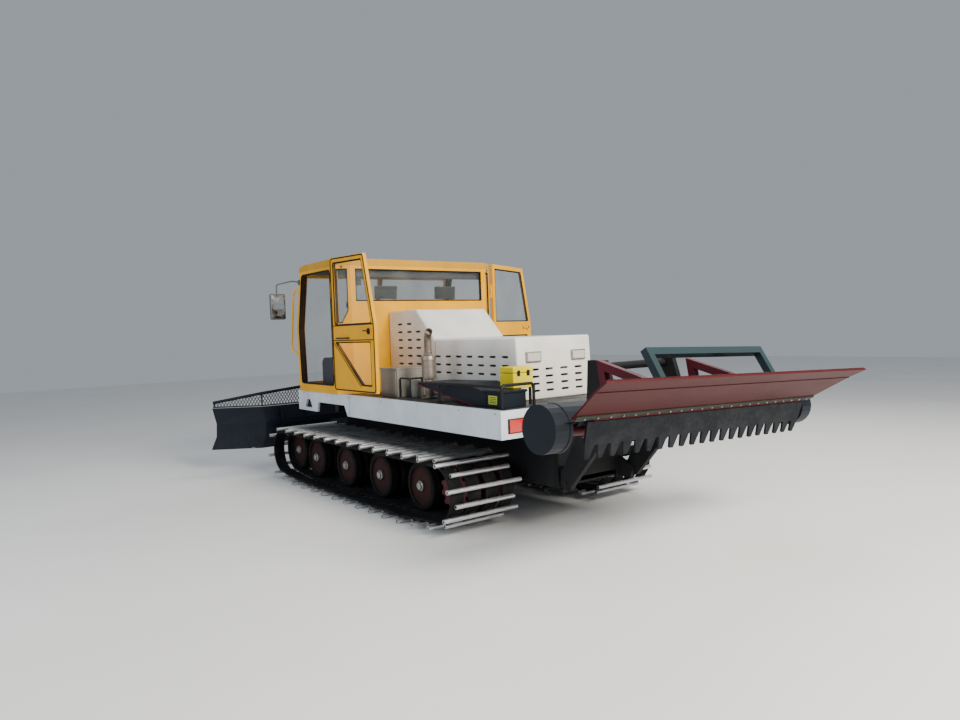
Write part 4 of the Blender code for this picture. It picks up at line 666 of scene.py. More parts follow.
def cleat(reach):
    """A hollow bar with its ends open, lying along X at the origin."""
    deselect()
    bpy.ops.mesh.primitive_cylinder_add(vertices=14, radius=BAR_RADIUS, depth=2 * reach,
                                        rotation=(0, math.pi / 2, 0), location=(0, 0, -BAR_LIFT))
    bar = settle(bpy.context.active_object, "cleat")
    bpy.ops.object.mode_set(mode="EDIT")
    bpy.ops.mesh.select_mode(type="FACE")
    bpy.ops.mesh.select_all(action="DESELECT")
    bpy.ops.object.mode_set(mode="OBJECT")
    for face in bar.data.polygons:
        face.select = abs(face.normal.x) > 0.9
    bpy.ops.object.mode_set(mode="EDIT")
    bpy.ops.mesh.inset(thickness=0.005, use_individual=True)
    bpy.ops.mesh.extrude_faces_move(TRANSFORM_OT_shrink_fatten={"value": -0.05})
    bpy.ops.object.mode_set(mode="OBJECT")
    return smooth(bar, 40)


def build_tracks():
    """Each track: four belts, long and short bars in turn, and the clamps that hold them."""
    for name, side in SIDES:
        centre = side * TRACK_X
        strips = [ribbon("strip", centre + shift, 0.135, PATH_RADIUS - 0.0275, PATH_RADIUS - 0.0472)
                  for shift in BELT_SHIFTS]
        belt = dress(join(name + "_track_belts", strips), "chassis", BELT)
        long_bar = cleat(TRACK_WIDTH / 2)
        short_bar = cleat(TRACK_WIDTH / 2 * 0.79)
        deselect()
        bpy.ops.mesh.primitive_cube_add(size=1.0, location=(0, 0, 0.016))
        clamp = bpy.context.active_object
        clamp.scale = (0.070, 0.040, 0.022)
        soften(settle(clamp, "clamp"), 0.003, 1)
        bars = []
        clamps = []
        for index, (point, run) in enumerate(stations(loop(PATH_RADIUS), BAR_COUNT)):
            turn = Matrix.Translation(place(centre, point.x,
                                            point.y)) @ Matrix.Rotation(math.atan2(run.y, run.x), 4,
                                                    "X")
            bars.append(duplicate(long_bar if index % 2 == 0 else short_bar, turn=turn))
            for shift in BELT_SHIFTS:
                clamps.append(duplicate(clamp, turn=turn @ Matrix.Translation((shift, 0, 0.0))))
        for spare in (long_bar, short_bar, clamp):
            bpy.data.objects.remove(spare, do_unlink=True)
        cleats = dress(join(name + "_track_cleats", bars), "chassis", BAR_SILVER)
        plates = dress(join(name + "_track_clamps", clamps), "chassis", BLACK)
        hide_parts(name + "_track")
        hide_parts(name + "_track")
        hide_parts(name + "_track")


def build_wheels():
    """Twin rubber-tyred wheels on dished discs, a walking beam and its cross tubes."""
    for name, side in SIDES:
        low = span(name + "_running_gear")[0]
        centre = side * TRACK_X
        tyres = []
        discs = []
        hubs = []
        for y, z in WHEELS:
            for shift in TWIN_SHIFTS:
                profile = [(-0.045, 0.190), (-0.047, 0.225), (-0.038, TYRE_RADIUS - 0.002),
                           (-0.012, TYRE_RADIUS), (-0.010, TYRE_RADIUS - 0.008),
                           (0.010, TYRE_RADIUS - 0.008), (0.012, TYRE_RADIUS),
                           (0.038, TYRE_RADIUS - 0.002), (0.047, 0.225), (0.045, 0.190)]
                tyres.append(turned("tyre", profile, (centre + shift, y, z), 40))
                bulge = side * 0.022
                dish = [(-0.032, 0.192), (-0.020, 0.192), (-0.010 + bulge, 0.130),
                        (-0.010 + bulge, 0.045), (0.006 + bulge, 0.045),
                        (0.006 + bulge, 0.134), (0.020, 0.181), (0.032, 0.192)]
                discs.append(turned("dish", dish, (centre + shift, y, z), 32))
            tip = centre + side * 0.138
            hub = [(-0.250, 0.0005), (-0.250, 0.040), (0.0, 0.052), (0.012, 0.052), (0.018, 0.040),
                   (0.030, 0.038), (0.034, 0.030), (0.034, 0.0005)]
            hub = [(a * side, r) for a, r in hub]
            hubs.append(turned("hub", hub, (tip - side * 0.030, y, z), 24))
            ring = [(tip - side * 0.016, y + 0.043 * math.cos(math.tau * k / 6),
                     z + 0.043 * math.sin(math.tau * k / 6)) for k in range(6)]
            hubs.append(bolts("hub_bolts", ring, (side, 0, 0), 0.006, 0.006))
        beam_low = 0.615
        beam_high = 0.680
        near = min(side * beam_low, side * beam_high)
        far = max(side * beam_low, side * beam_high)
        beam = slab("beam", [(low.y + 0.20, 0.300), (low.y + 0.30, 0.292), (1.50, 0.292), (1.60, 0.310),
                             (1.60, 0.390), (1.50, 0.408),
                             (low.y + 0.30, 0.408), (low.y + 0.20, 0.400)], "X", near, far, 0.006)
        frames = [beam]
        for y in (-1.43, -0.9, -0.1, 0.7, 1.5):
            frames.append(drum("tube", (side * 0.4215, y, 0.350), (side * beam_low, y, 0.350), 0.050,
                               20))
            frames.append(drum("flange", (side * 0.4215, y, 0.350), (side * 0.436, y, 0.350), 0.075,
                               20))
        for y, z in WHEELS:
            frames.append(drum("axle", (side * (beam_high - 0.01), y, z), (side * 0.84, y, z), 0.040,
                               20))
        # The beam and discs take the wheel red whose near-black tone is painted shade.
        carrier = dress(join(name + "_wheel_beam", frames), "chassis", SHADED_WHEEL_RED)
        plates = dress(join(name + "_wheel_discs", discs), "chassis", SHADED_WHEEL_RED)
        rims = dress(join(name + "_wheel_tyres", tyres), "chassis", TYRE)
        centres = dress(join(name + "_wheel_hubs", hubs), "chassis", STEEL)
        for piece in (carrier, plates, rims, centres):
            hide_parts(name + "_running_gear")

        teeth = []
        y, z = SPROCKET
        outline = []
        count = 13
        for k in range(count):
            turn = math.tau * k / count
            for bend, radius in ((-0.17, 0.176), (-0.075, 0.212), (0.075, 0.212), (0.17, 0.176)):
                outline.append((y + radius * math.cos(turn + bend), z + radius * math.sin(turn + bend)))
        for shift in (-0.13, 0.11):
            start = centre + side * shift
            teeth.append(slab("teeth", outline, "X", min(start, start + side * 0.026),
                              max(start, start + side * 0.026), 0.003))
        drive = [(-0.46, 0.0005), (-0.46, 0.10), (-0.34, 0.125), (-0.14, 0.125), (-0.12, 0.105),
                 (0.10, 0.105), (0.13, 0.085), (0.150, 0.085), (0.160, 0.060), (0.165, 0.0005)]
        drive = [(a * side, r) for a, r in drive]
        teeth.append(turned("drive", drive, (centre, y, z), 32))
        wheel = dress(join(name + "_drive_wheel", teeth), "chassis", DARK_RED)
        ring = [(centre + side * 0.150, y + 0.060 * math.cos(math.tau * k / 8),
                 z + 0.060 * math.sin(math.tau * k / 8)) for k in range(8)]
        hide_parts(name + "_sprocket")
        heads = dress(bolts(name + "_drive_bolts", ring, (side, 0, 0), 0.008, 0.008), "chassis", STEEL)
        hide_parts(name + "_sprocket")


# ================================================================ hood
def slot_cutter(x, y, z, along, length=0.100, height=0.022):
    reach = {"X": (length / 2, 0.060, height / 2), "Y": (0.060, length / 2, height / 2)}[along]
    return cuboid("slot", (x - reach[0], y - reach[1], z - reach[2]),
                  (x + reach[0], y + reach[1], z + reach[2]), 0.009, 2)


def build_hood():
    low, high = span("engine_hood")
    wide = high.x
    tall = high.z
    ridge = 0.607
    step = 0.959
    flat = 1.744
    tail = 2.326
    wall = 0.012

    def profile(inset, bottom):
        return [(low.y + inset, bottom), (low.y + inset, tall - inset),
                (ridge - inset * 0.4, tall - inset), (step - inset * 0.4, flat - inset),
                (tail - inset, flat - inset), (high.y - inset, bottom)]

    shell = slab("engine_hood_shell", profile(0.0, low.z), "X", -wide, wide)
    soften(shell, 0.020, 3, 20)
    carve(shell, slab("inside", profile(wall, low.z - 0.05), "X", -wide + wall, wide - wall))
    cutters = []
    for side in (1, -1):
        for column, y in enumerate((0.251, 0.449, 0.634)):
            for row in range(6):
                if row == 0 and column == 2:
                    continue
                cutters.append(slot_cutter(side * wide, y, 1.925 - 0.0906 * row, "Y"))
        for column in range(7):
            for z in (1.560, 1.475, 1.390):
                cutters.append(slot_cutter(side * wide, 1.017 + 0.190 * column, z, "Y"))
    for x in (0.271, 0.091, -0.107, -0.299):
        for row in range(4):
            cutters.append(slot_cutter(x, high.y - 0.01, 1.432 - 0.0677 * row, "X"))
    carve(shell, join("slots", cutters))
    smooth(shell, 30)
    dress(shell, "chassis", WHITE)
    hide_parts("engine_hood")
    seams = [
        cuboid("seam", (-wide - 0.0015, step + 0.012, low.z + 0.02),
               (-wide + 0.001, step + 0.015, flat - 0.03), 0.0004, 1),
        cuboid("seam", (wide - 0.001, step + 0.012, low.z + 0.02),
               (wide + 0.0015, step + 0.015, flat - 0.03), 0.0004, 1),
        cuboid("seam", (-wide + 0.03, step + 0.012, flat - 0.001),
               (wide - 0.03, step + 0.015, flat + 0.0012), 0.0004, 1),
    ]
    dress(join("hood_seams", seams), "chassis", SEAL)
    latches = []
    for side in (1, -1):
        for y in (0.42, 1.35, 2.05):
            latches.append(cuboid("latch", (side * wide - 0.002, y - 0.020, 1.190),
                                  (side * wide + side * 0.010, y + 0.020, 1.250), 0.003))
            latches.append(drum("keeper", (side * (wide + 0.008), y, 1.235),
                                (side * (wide + 0.014), y, 1.235), 0.012, 16))
    dress(join("hood_latches", latches), "chassis", STEEL)
    lamps = []
    covers = []
    for x in (0.290, -0.300):
        lean = (high.y - tail) / (flat - low.z)
        seat = tail + lean * (flat - 1.553)
        lamps.append(cuboid("bezel", (x - 0.093, seat - 0.010, 1.502), (x + 0.093, seat + 0.020, 1.604),
                            0.006))
        covers.append(cuboid("cover", (x - 0.080, seat + 0.016, 1.514),
                             (x + 0.080, seat + 0.026, 1.592), 0.005))
    dress(join("work_lamp_bezels", lamps), "chassis", STEEL)
    dress(join("work_lamp_covers", covers), "chassis", CLEAR_LENS)


# ================================================================ cab
def ring_seal(name, corners, radius, reach=0.03):
    return tube(name, rounded(corners, reach, 4, True), radius, 8, True)


def build_cab():
    rear_low, rear_high = span("rear_window")
    glass_y = (rear_low.y + rear_high.y) / 2
    seals = []
    for y in (glass_y + 0.012, glass_y - 0.012):
        seals.append(ring_seal("seal", [(rear_low.x + 0.006, y, rear_low.z + 0.006),
                                        (rear_high.x - 0.006, y, rear_low.z + 0.006),
                                        (rear_high.x - 0.006, y, rear_high.z - 0.006),
                                        (rear_low.x + 0.006, y, rear_high.z - 0.006)], 0.008))
    start = Vector((1.130, -0.120))
    end = Vector((0.968, 0.0))
    run = (end - start).normalized()
    inward = Vector((-run.y, run.x))
    length = (end - start).length
    for side in (1, -1):
        ring = []
        for along, z in ((0.041, 1.966), (length * 0.45, 1.966), (length - 0.041, 2.110),
                         (length - 0.041, 2.579), (0.041, 2.579)):
            spot = start + run * along + inward * 0.009
            ring.append((side * spot.x, spot.y, z))
        seals.append(ring_seal("seal", ring, 0.007, 0.02))
    dress(join("cab_window_seals", seals), "chassis", SEAL)

    # The doorway pillars and reveals are dark brown: painted shade where the yellow inner faces fall in
    # shadow.
    inner = []
    seats = []
    for side in (1, -1):
        inside = side * 1.069
        outline = [(-0.196, 1.246), (-0.196, 2.578), (-0.982, 2.578), (-1.124, 1.923), (-1.097, 1.246)]
        seats.append(ring_seal("door_seal", [(side * 1.131, y, z) for y, z in outline], 0.008, 0.05))
        inner.append(slab("pillar", [(-0.125, 1.20), (-0.125, 2.60), (-0.190, 2.60), (-0.190, 1.20)],
                          "X",
                          min(inside, inside - side * 0.004), max(inside, inside - side * 0.004),
                          0.001))
        inner.append(slab("pillar", [(-1.118, 1.20), (-1.148, 1.923), (-1.010, 2.600), (-0.975, 2.600),
                                     (-1.112, 1.923), (-1.084, 1.20)], "X",
                          min(inside, inside - side * 0.004), max(inside, inside - side * 0.004),
                          0.001))
        edges = [(-0.2010, 1.252), (-0.2010, 2.573), (-0.984, 2.573), (-1.1185, 1.923),
                 (-1.0915, 1.252)]
        for (ya, za), (yb, zb) in zip(edges, edges[1:] + edges[:1]):
            flat = Vector((yb - ya, zb - za)).normalized()
            inward_turn = Vector((-flat.y, flat.x))
            middle = Vector(((ya + yb) / 2, (za + zb) / 2))
            if (Vector((-0.62, 1.9)) - middle).dot(inward_turn) < 0:
                inward_turn = -inward_turn
            shift = inward_turn * 0.003
            inner.append(slab("reveal", [(ya, za), (yb, zb), (yb + shift.x, zb + shift.y),
                                         (ya + shift.x, za + shift.y)], "X",
                              min(side * 1.072, side * 1.128), max(side * 1.072, side * 1.128)))
    dress(join("doorway_seals", seats), "chassis", SEAL)
    dress(join("doorway_reveals", inner), "chassis", PAINTED_SHADE_BROWN)
    lining = slab("roof_lining", [(-0.050, 2.616), (-0.050, 2.596), (-0.900, 2.588), (-0.985, 2.588),
                                  (-0.985, 2.616)], "X", -1.060, 1.060, 0.003)
    dress(lining, "chassis", LINING)
    rear_lining = cuboid("rear_lining", (-0.960, -0.0455, 1.200), (0.960, -0.041, 2.195), 0.001, 1)
    dress(rear_lining, "chassis", LINING)
    header = cuboid("blind_box", (-0.98, -0.120, 2.490), (0.98, -0.060, 2.590), 0.008)
    dress(header, "chassis", TRIM)
    block = [cuboid("block", (0.80, -0.115, 2.400), (0.875, -0.055, 2.500), 0.006)]
    for side in (1, -1):
        knob = start + run * (length - 0.052) + inward * 0.030
        block.append(cuboid("knob", (side * knob.x - 0.012, knob.y - 0.014, 2.135),
                            (side * knob.x + 0.012, knob.y + 0.012, 2.200), 0.004))
    dress(join("window_catches", block), "chassis", BLACK)

    wipers = []
    for side in (1, -1):
        x = side * 0.50
        wipers.append(tube("arm", [(x, -1.186, 1.235), (x + side * 0.05, -1.214, 1.55),
                                   (x + side * 0.10, -1.214, 1.85)], 0.005, 8))
        wipers.append(tube("blade", [(x + side * 0.04, -1.200, 1.50), (x + side * 0.13, -1.210, 2.05)],
                           0.006, 8))
        wipers.append(drum("spindle", (x, -1.150, 1.232), (x, -1.192, 1.232), 0.016, 16))
    dress(join("wipers", wipers), "chassis", SEAL)

    hinge_bolts = []
    for side in (1, -1):
        for base in (1.420, 2.300):
            for z in (base - 0.025, base + 0.105):
                hinge_bolts.append((side * 1.134, -0.138, z))
    heads = [bolts("heads", [s for s in hinge_bolts if s[0] * side > 0], (side, 0, 0), 0.006, 0.004)
             for side in (1, -1)]
    dress(join("hinge_bolts", heads), "chassis", STEEL)


def on_door(side, opened, along, height, depth):
    """A point on a door's leaf: along from the hinge, height, and depth outward from its middle."""
    x = depth
    y = -along
    turn = side * opened
    rx = side * x * math.cos(turn) - y * math.sin(turn)
    ry = side * x * math.sin(turn) + y * math.cos(turn)
    return (side * 1.155 + rx, -0.110 + ry, height)


def build_doors():
    upper = [(0.080, 1.941), (0.080, 2.637), (0.748, 2.622), (0.925, 1.941)]
    lower = [(0.076, 1.742), (0.892, 1.742), (0.892, 1.278), (0.674, 1.278)]
    for (name, side), opened in zip(SIDES, (math.pi, math.radians(71.0))):
        body = name + "_door"
        seals = []
        for outline in (upper, lower):
            for depth in (-0.012, 0.012):
                seals.append(ring_seal("seal", [on_door(side, opened, a, z, depth) for a, z in outline],
                                       0.007, 0.03))
        rim = [(0.030, 1.212), (0.030, 2.688), (0.792, 2.668), (0.976, 1.923), (0.976, 1.212)]
        seals.append(ring_seal("rim", [on_door(side, opened, a, z, -0.0185) for a, z in rim], 0.007,
                               0.04))
        dress(join(name + "_door_seals", seals), body, SEAL)

        # The pressings are dark brown lines: painted shade in the door's creases.
        pressings = []
        for a, b in (((0.040, 1.765), (0.955, 1.765)), ((0.040, 1.930), (0.960, 1.930)),
                     ((0.050, 1.735), (0.655, 1.262))):
            pressings.append(tube("pressing", [on_door(side, opened, a[0], a[1], -0.017),
                                               on_door(side, opened, b[0], b[1], -0.017)], 0.006, 8))
        dress(join(name + "_door_pressings", pressings), body, PAINTED_SHADE_BROWN)

        spot = on_door(side, opened, 0.890, 1.855, -0.018)
        tip = on_door(side, opened, 0.890, 1.855, -0.040)
        lock = [drum("rose", spot, tip, 0.034, 28),
                drum("barrel", spot, on_door(side, opened, 0.890, 1.855, -0.046), 0.020, 20)]
        lock.append(tube("lever", [on_door(side, opened, 0.890, 1.855, -0.044),
                                   on_door(side, opened, 0.860, 1.862, -0.052),
                                   on_door(side, opened, 0.800, 1.862, -0.052)], 0.006, 8))
        lock.append(drum("key", on_door(side, opened, 0.890, 1.855, 0.040),
                         on_door(side, opened, 0.890, 1.855, 0.046), 0.014, 20))
        dress(join(name + "_door_lock", lock), body, BLACK)

        pull = tube("pull",
                    rounded([on_door(side, opened, 0.150, 1.790, -0.016),
                             on_door(side, opened, 0.150, 1.790, -0.050),
                                     on_door(side, opened, 0.420, 1.790, -0.050),
                                     on_door(side, opened, 0.420, 1.790, -0.016)], 0.02), 0.008, 10)
        dress(pull, body, BLACK)
        pull.name = name + "_door_pull"


def build_interior():
    """Dials, levers, pedals and the trim round the driver's place."""
    low = span("dashboard")[0]
    parts = [cuboid("binnacle", (0.24, low.y + 0.02, 1.745), (0.62, low.y + 0.16, 1.830), 0.020, 3)]
    parts.append(cuboid("console", (-0.06, -0.90, 1.20), (0.10, -0.72, 1.50), 0.02, 3))
    parts.append(cuboid("console_top", (-0.07, -0.92, 1.495), (0.11, -0.715, 1.53), 0.01, 2))
    dress(join("dash_binnacle", parts), "chassis", TRIM)
    dials = []
    rims = []
    for x in (0.31, 0.43, 0.55):
        dials.append(drum("dial", (x, low.y + 0.155, 1.79), (x, low.y + 0.163, 1.79), 0.033, 28))
        rims.append(tube("rim", [(x + 0.035 * math.cos(t), low.y + 0.164, 1.79 + 0.035 * math.sin(t))
                                 for t in (math.tau * k / 24 for k in range(24))], 0.003, 8, True))
    dress(join("dash_dials", dials), "chassis", DIAL)
    for x in (-0.02, 0.05):
        rims.append(tube("lever", [(x, -0.82, 1.52), (x, -0.80, 1.66)], 0.007, 8))
    dress(join("dash_rims_and_levers", rims), "chassis", STEEL)
    knobs = [turned("knob", [(-0.02, 0.0005), (-0.018, 0.012), (0.0, 0.020), (0.016, 0.014),
                             (0.022, 0.0005)], (x, -0.798, 1.675), 16, "Z") for x in (-0.02, 0.05)]
    dress(join("lever_knobs", knobs), "chassis", BLACK)
    pedals = []
    for x in (0.30, 0.42, 0.55):
        pedals.append(cuboid("pedal", (x - 0.03, -0.885, 1.24), (x + 0.03, -0.870, 1.34), 0.004))
        pedals.append(tube("stem", [(x, -0.886, 1.29), (x, -0.898, 1.36)], 0.006, 8))
    dress(join("pedals", pedals), "chassis", SEAL)


def puff(piece, cap, pressure=4.0):
    """Blow a pad up a little as cloth, with a cap on how far any point moves."""
    apply_modifier(piece, "REMESH", mode="VOXEL", voxel_size=0.009)
    before = [v.co.copy() for v in piece.data.vertices]
    focus(piece)
    modifier = piece.modifiers.new("cloth", "CLOTH")
    modifier.settings.use_pressure = True
    modifier.settings.uniform_pressure_force = pressure
    modifier.settings.effector_weights.gravity = 0.0
    modifier.settings.quality = 4
    modifier.point_cache.frame_start = 1
    modifier.point_cache.frame_end = 20
    for step in range(1, 21):
        bpy.context.scene.frame_set(step)
    bpy.ops.object.modifier_apply(modifier=modifier.name)
    bpy.context.scene.frame_set(1)
    for vertex, old in zip(piece.data.vertices, before):
        move = vertex.co - old
        if move.length > cap:
            vertex.co = old + move.normalized() * cap
    apply_modifier(piece, "SMOOTH", factor=0.5, iterations=3)
    apply_modifier(piece, "SUBSURF", levels=1, render_levels=1)
    focus(piece)
    bpy.ops.object.shade_smooth()
    return piece


def build_seats():
    """Each seat: swollen cloth pads on steel posts, with piping round the cushion."""
    for name, centre in (("left_seat", 0.43), ("right_seat", -0.43)):
        step = span(name)[0].z
        cushion = cuboid("cushion", (centre - 0.235, -0.645, step + 0.014),
                         (centre + 0.235, -0.30, step + 0.118), 0.030, 3)
        back = slab("back", [(-0.295, step + 0.075), (-0.185, step + 0.075), (-0.120, 2.170),
                             (-0.185, 2.170)], "X", centre - 0.225, centre + 0.225, 0.022)
        rest = slab("rest", [(-0.178, 2.235), (-0.120, 2.235), (-0.102, 2.405), (-0.172, 2.405)], "X",
                    centre - 0.155, centre + 0.155, 0.018)
        pads = []
        for label, pad, cap in (("cushion", cushion, 0.012), ("backrest", back, 0.010),
                                ("headrest", rest, 0.008)):
            pad.name = name + "_" + label
            puff(pad, cap)
            dress(pad, "chassis", CLOTH)
            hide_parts(name)
            pads.append(pad)
        piping = []
        box_low = step + 0.066
        piping.append(ring_seal("piping", [(centre - 0.238, -0.648, box_low + 0.03),
                                           (centre + 0.238, -0.648, box_low + 0.03),
                                           (centre + 0.238, -0.31, box_low + 0.03),
                                           (centre - 0.238, -0.31, box_low + 0.03)], 0.004, 0.04))
        posts = [tube("post", [(centre + shift, -0.150, 2.150), (centre + shift, -0.146, 2.250)], 0.007,
                      8) for shift in (-0.07, 0.07)]
        base = cuboid("base", (centre - 0.20, -0.60, step + 0.0005),
                      (centre + 0.20, -0.20, step + 0.016), 0.003)
        pan = dress(join(name + "_posts", posts + [base]), "chassis", STEEL)
        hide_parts(name)
        cord = dress(join(name + "_piping", piping), "chassis", SEAL)
        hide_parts(name)


# ================================================================ deck
def build_deck():
    """Tail lamps, the liners behind the skirt arches and the deck's small parts."""
    high = span("rear_skirt")[1]
    housings = []
    reds = []
    whites = []
    back = high.y
    for side in (1, -1):
        x = side * 0.921
        housings.append(cuboid("housing", (x - 0.123, back + 0.0005, 0.950),
                               (x + 0.123, back + 0.012, 1.075), 0.005))
        red = x + side * 0.017
        white = x - side * 0.099
        reds.append(cuboid("red", (red - 0.098, back + 0.010, 0.958),
                           (red + 0.098, back + 0.024, 1.067), 0.007, 3))
        whites.append(cuboid("white", (white - 0.015, back + 0.010, 0.958),
                             (white + 0.015, back + 0.024, 1.067), 0.005, 2))
    dress(join("tail_lamp_housings", housings), "chassis", BLACK)
    dress(join("tail_lamp_red", reds), "chassis", RED_LENS)
    dress(join("tail_lamp_white", whites), "chassis", WHITE_LENS)
    liners = [cuboid("liner", (min(side * 1.0875, side * 1.072), -1.09, 0.930),
                     (max(side * 1.0875, side * 1.072), -0.85, 1.075), 0.002) for side in (1, -1)]
    dress(join("skirt_arch_liners", liners), "chassis", BLACK)
    heads = []
    for side in (1, -1):
        spots = [(side * 1.115, y, 1.118) for y in (-1.10, -0.45, 0.10, 0.16, 0.85, 1.55, 2.25, 2.78)]
        heads.append(bolts("heads", spots, (side, 0, 0), 0.009, 0.004))
    dress(join("skirt_bolts", heads), "chassis", STEEL)
    seams = [cuboid("seam", (side * 1.1155 - 0.0008, 0.128, 0.915),
                    (side * 1.1155 + 0.0008, 0.131, 1.140), 0.0003, 1) for side in (1, -1)]
    dress(join("skirt_seams", seams), "chassis", SEAL)
    edge = []
    for side in (1, -1):
        edge.append(slab("edge", [(-1.262, 1.1453), (-1.262, 1.1495), (2.850, 1.1495), (2.850, 1.1453)],
                         "X",
                         min(side * 1.090, side * 1.112), max(side * 1.090, side * 1.112), 0.001))
    # The deck edges share the skirt white with its painted cool shade.
    dress(join("deck_edges", edge), "chassis", SKIRT_WHITE_COOL_SHADE)


def build_fittings():
    x = 0.790
    y = 1.290
    profile = [(1.345, 0.0005), (1.345, 0.058), (1.350, 0.068), (1.362, 0.072), (1.395, 0.072),
               (1.398, 0.069), (1.532, 0.069), (1.535, 0.074),
               (1.568, 0.074), (1.580, 0.069), (1.588, 0.052), (1.600, 0.042), (1.600, 0.0005)]
    can = turned("can", [(a, r) for a, r in profile], (x, y, 0), 40, "Z")
    pipe = tube("pipe", rounded([(x, y, 1.590), (x, y, 1.785), (x + 0.035, y + 0.085, 1.833)], 0.05, 6),
                0.038, 20)
    carve(pipe, drum("bore", (x + 0.018, y + 0.045, 1.812), (x + 0.052, y + 0.125, 1.851), 0.033, 24,
                     0))
    leg = drum("leg", (x, y, 1.150), (x, y, 1.352), 0.044, 24)
    flange = drum("flange", (x, y, 1.150), (x, y, 1.162), 0.085, 28)
    clamp = tube("clamp", [(x + 0.042 * math.cos(t), y + 0.042 * math.sin(t), 1.620)
                           for t in (math.tau * k / 24 for k in range(24))], 0.005, 8, True)
    whole = dress(join("muffler_can", [can, pipe, leg, flange, clamp]), "chassis", HEAT_STEEL)
    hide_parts("muffler")

    low, high = span("deck_cabinet")
    body = cuboid("body", (low.x, low.y, low.z), (high.x, 0.930, high.z), 0.010, 3)
    panel = cuboid("panel", (high.x - 0.004, low.y + 0.03, low.z + 0.03),
                   (high.x + 0.006, 0.900, high.z - 0.03), 0.004)
    lid = cuboid("lid", (low.x - 0.004, low.y - 0.004, high.z - 0.016),
                 (high.x + 0.006, 0.934, high.z + 0.001), 0.004)
    bars = [tube("bar",
                 rounded([(0.925, 0.945, low.z + 0.01), (0.925, 0.945, 1.352), (0.925, 1.142, 1.352),
                          (0.925, 1.142, low.z + 0.01)], 0.02), 0.009, 8)]
    bars.append(tube("bar",
                     rounded([(0.650, 0.945, low.z + 0.01), (0.650, 0.945, 1.352),
                              (0.650, 1.142, 1.352), (0.650, 1.142, low.z + 0.01)], 0.02), 0.009, 8))
    bars.append(tube("bar", [(0.650, 1.142, 1.352), (0.925, 1.142, 1.352)], 0.009, 8))
    pump = turned("pump", [(1.150, 0.0005), (1.150, 0.060), (1.170, 0.070), (1.290, 0.070),
                           (1.300, 0.062), (1.322, 0.030), (1.325, 0.0005)], (0.79, 1.045, 0), 28, "Z")
    cabinet = dress(join("deck_cabinet_body", [body, panel, lid, pump]), "chassis", PALE_GREY)
    guard = dress(join("deck_cabinet_guard", bars), "chassis", BLACK)
    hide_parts("deck_cabinet")
    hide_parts("deck_cabinet")
    catch = [cuboid("catch", (high.x + 0.004, 0.73, 1.30), (high.x + 0.010, 0.77, 1.34), 0.002)]
    dress(join("cabinet_catch", catch), "chassis", STEEL)

    low, high = span("battery_box")
    tray = slab("tray", [(1.402, 1.312), (1.402, 1.331), (2.180, 1.348), (2.488, 1.282), (2.488, low.z),
                         (2.334, low.z)], "X", 0.602, 0.998, 0.006)
    inner_ribs = [tube("bead", [(0.999, 1.42, 1.324), (0.999, 2.18, 1.339), (0.999, 2.46, 1.279)],
                       0.006, 8)]
    case = cuboid("case", (0.732, 2.472, low.z), (0.998, 2.738, 1.278), 0.008, 3)
    cover = cuboid("cover", (0.722, 2.462, 1.276), (1.007, 2.749, high.z - 0.053), 0.008, 3)
    ribs = [cuboid("rib", (0.996, at, low.z + 0.01), (1.003, at + 0.010, 1.272), 0.002)
            for at in (2.50, 2.695)]
    battery = dress(join("battery_case", [tray, case, cover] + inner_ribs + ribs), "chassis", NAVY)
    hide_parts("battery_box")
    flange = tube("flange", [(0.999, 1.42, 1.309), (0.999, 2.325, 1.150)], 0.007, 8)
    dress(flange, "chassis", DARK_RED)
    flange.name = "tray_lower_edge"
    frame_of_label = cuboid("battery_label", (0.998, 2.545, 1.178), (1.0005, 2.665, 1.254), 0.0006, 1)
    dress(frame_of_label, "chassis", LIME)
    print_lines = [cuboid("line", (1.0004, 2.560, z), (1.0009, 2.650, z + 0.006), 0.0002, 1)
                   for z in (1.192, 1.207, 1.222, 1.237)]
    dress(join("battery_label_lines", print_lines), "chassis", NAVY)

    low, high = span("tool_box")
    bottom = 1.3008
    body = cuboid("body", (low.x, low.y, bottom), (high.x, high.y, high.z - 0.055), 0.010, 3)
    lid = cuboid("lid", (low.x - 0.003, low.y - 0.003, high.z - 0.052),
                 (high.x + 0.003, high.y + 0.003, high.z), 0.010, 3)
    box = dress(join("tool_box_body", [body, lid]), "chassis", SIGNAL)
    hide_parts("tool_box")
    catches = [cuboid("catch", (x_at - 0.016, high.y - 0.002, high.z - 0.080),
                      (x_at + 0.016, high.y + 0.007, high.z - 0.030), 0.002) for x_at in (0.62, 0.73)]
    stand = [cuboid("leg", (0.570, y_at, low.z), (0.590, y_at + 0.020, bottom + 0.004), 0.002)
             for y_at in (2.465, 2.605)]
    legs = dress(join("tool_box_stand", catches + stand), "chassis", BLACK)
    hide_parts("tool_box")

    low, high = span("fuel_tank")
    straps = []
    for at in (0.62, 1.05, 1.48):
        straps.append(slab("strap", [(low.x - 0.003, low.z + 0.002), (low.x - 0.003, high.z - 0.037),
                                     (low.x + 0.037, high.z + 0.003), (high.x - 0.037, high.z + 0.003),
                                     (high.x + 0.003, high.z - 0.037), (high.x + 0.003, low.z + 0.002),
                                     (high.x + 0.0005, low.z + 0.002),
                                     (high.x + 0.0005, high.z - 0.040),
                                     (high.x - 0.040, high.z + 0.0005),
                                     (low.x + 0.040, high.z + 0.0005),
                                     (low.x - 0.0005, high.z - 0.040), (low.x - 0.0005, low.z + 0.002)],
                                     "Y", at - 0.02, at + 0.02))
    dress(join("tank_straps", straps), "chassis", STEEL)
    cap = turned("tank_cap", [(0.0, 0.0005), (0.0, 0.050), (0.008, 0.050), (0.012, 0.044),
                              (0.030, 0.044), (0.036, 0.038), (0.036, 0.0005)], (-0.765, 0.50, high.z),
                              28, "Z")
    dress(cap, "chassis", BLACK)

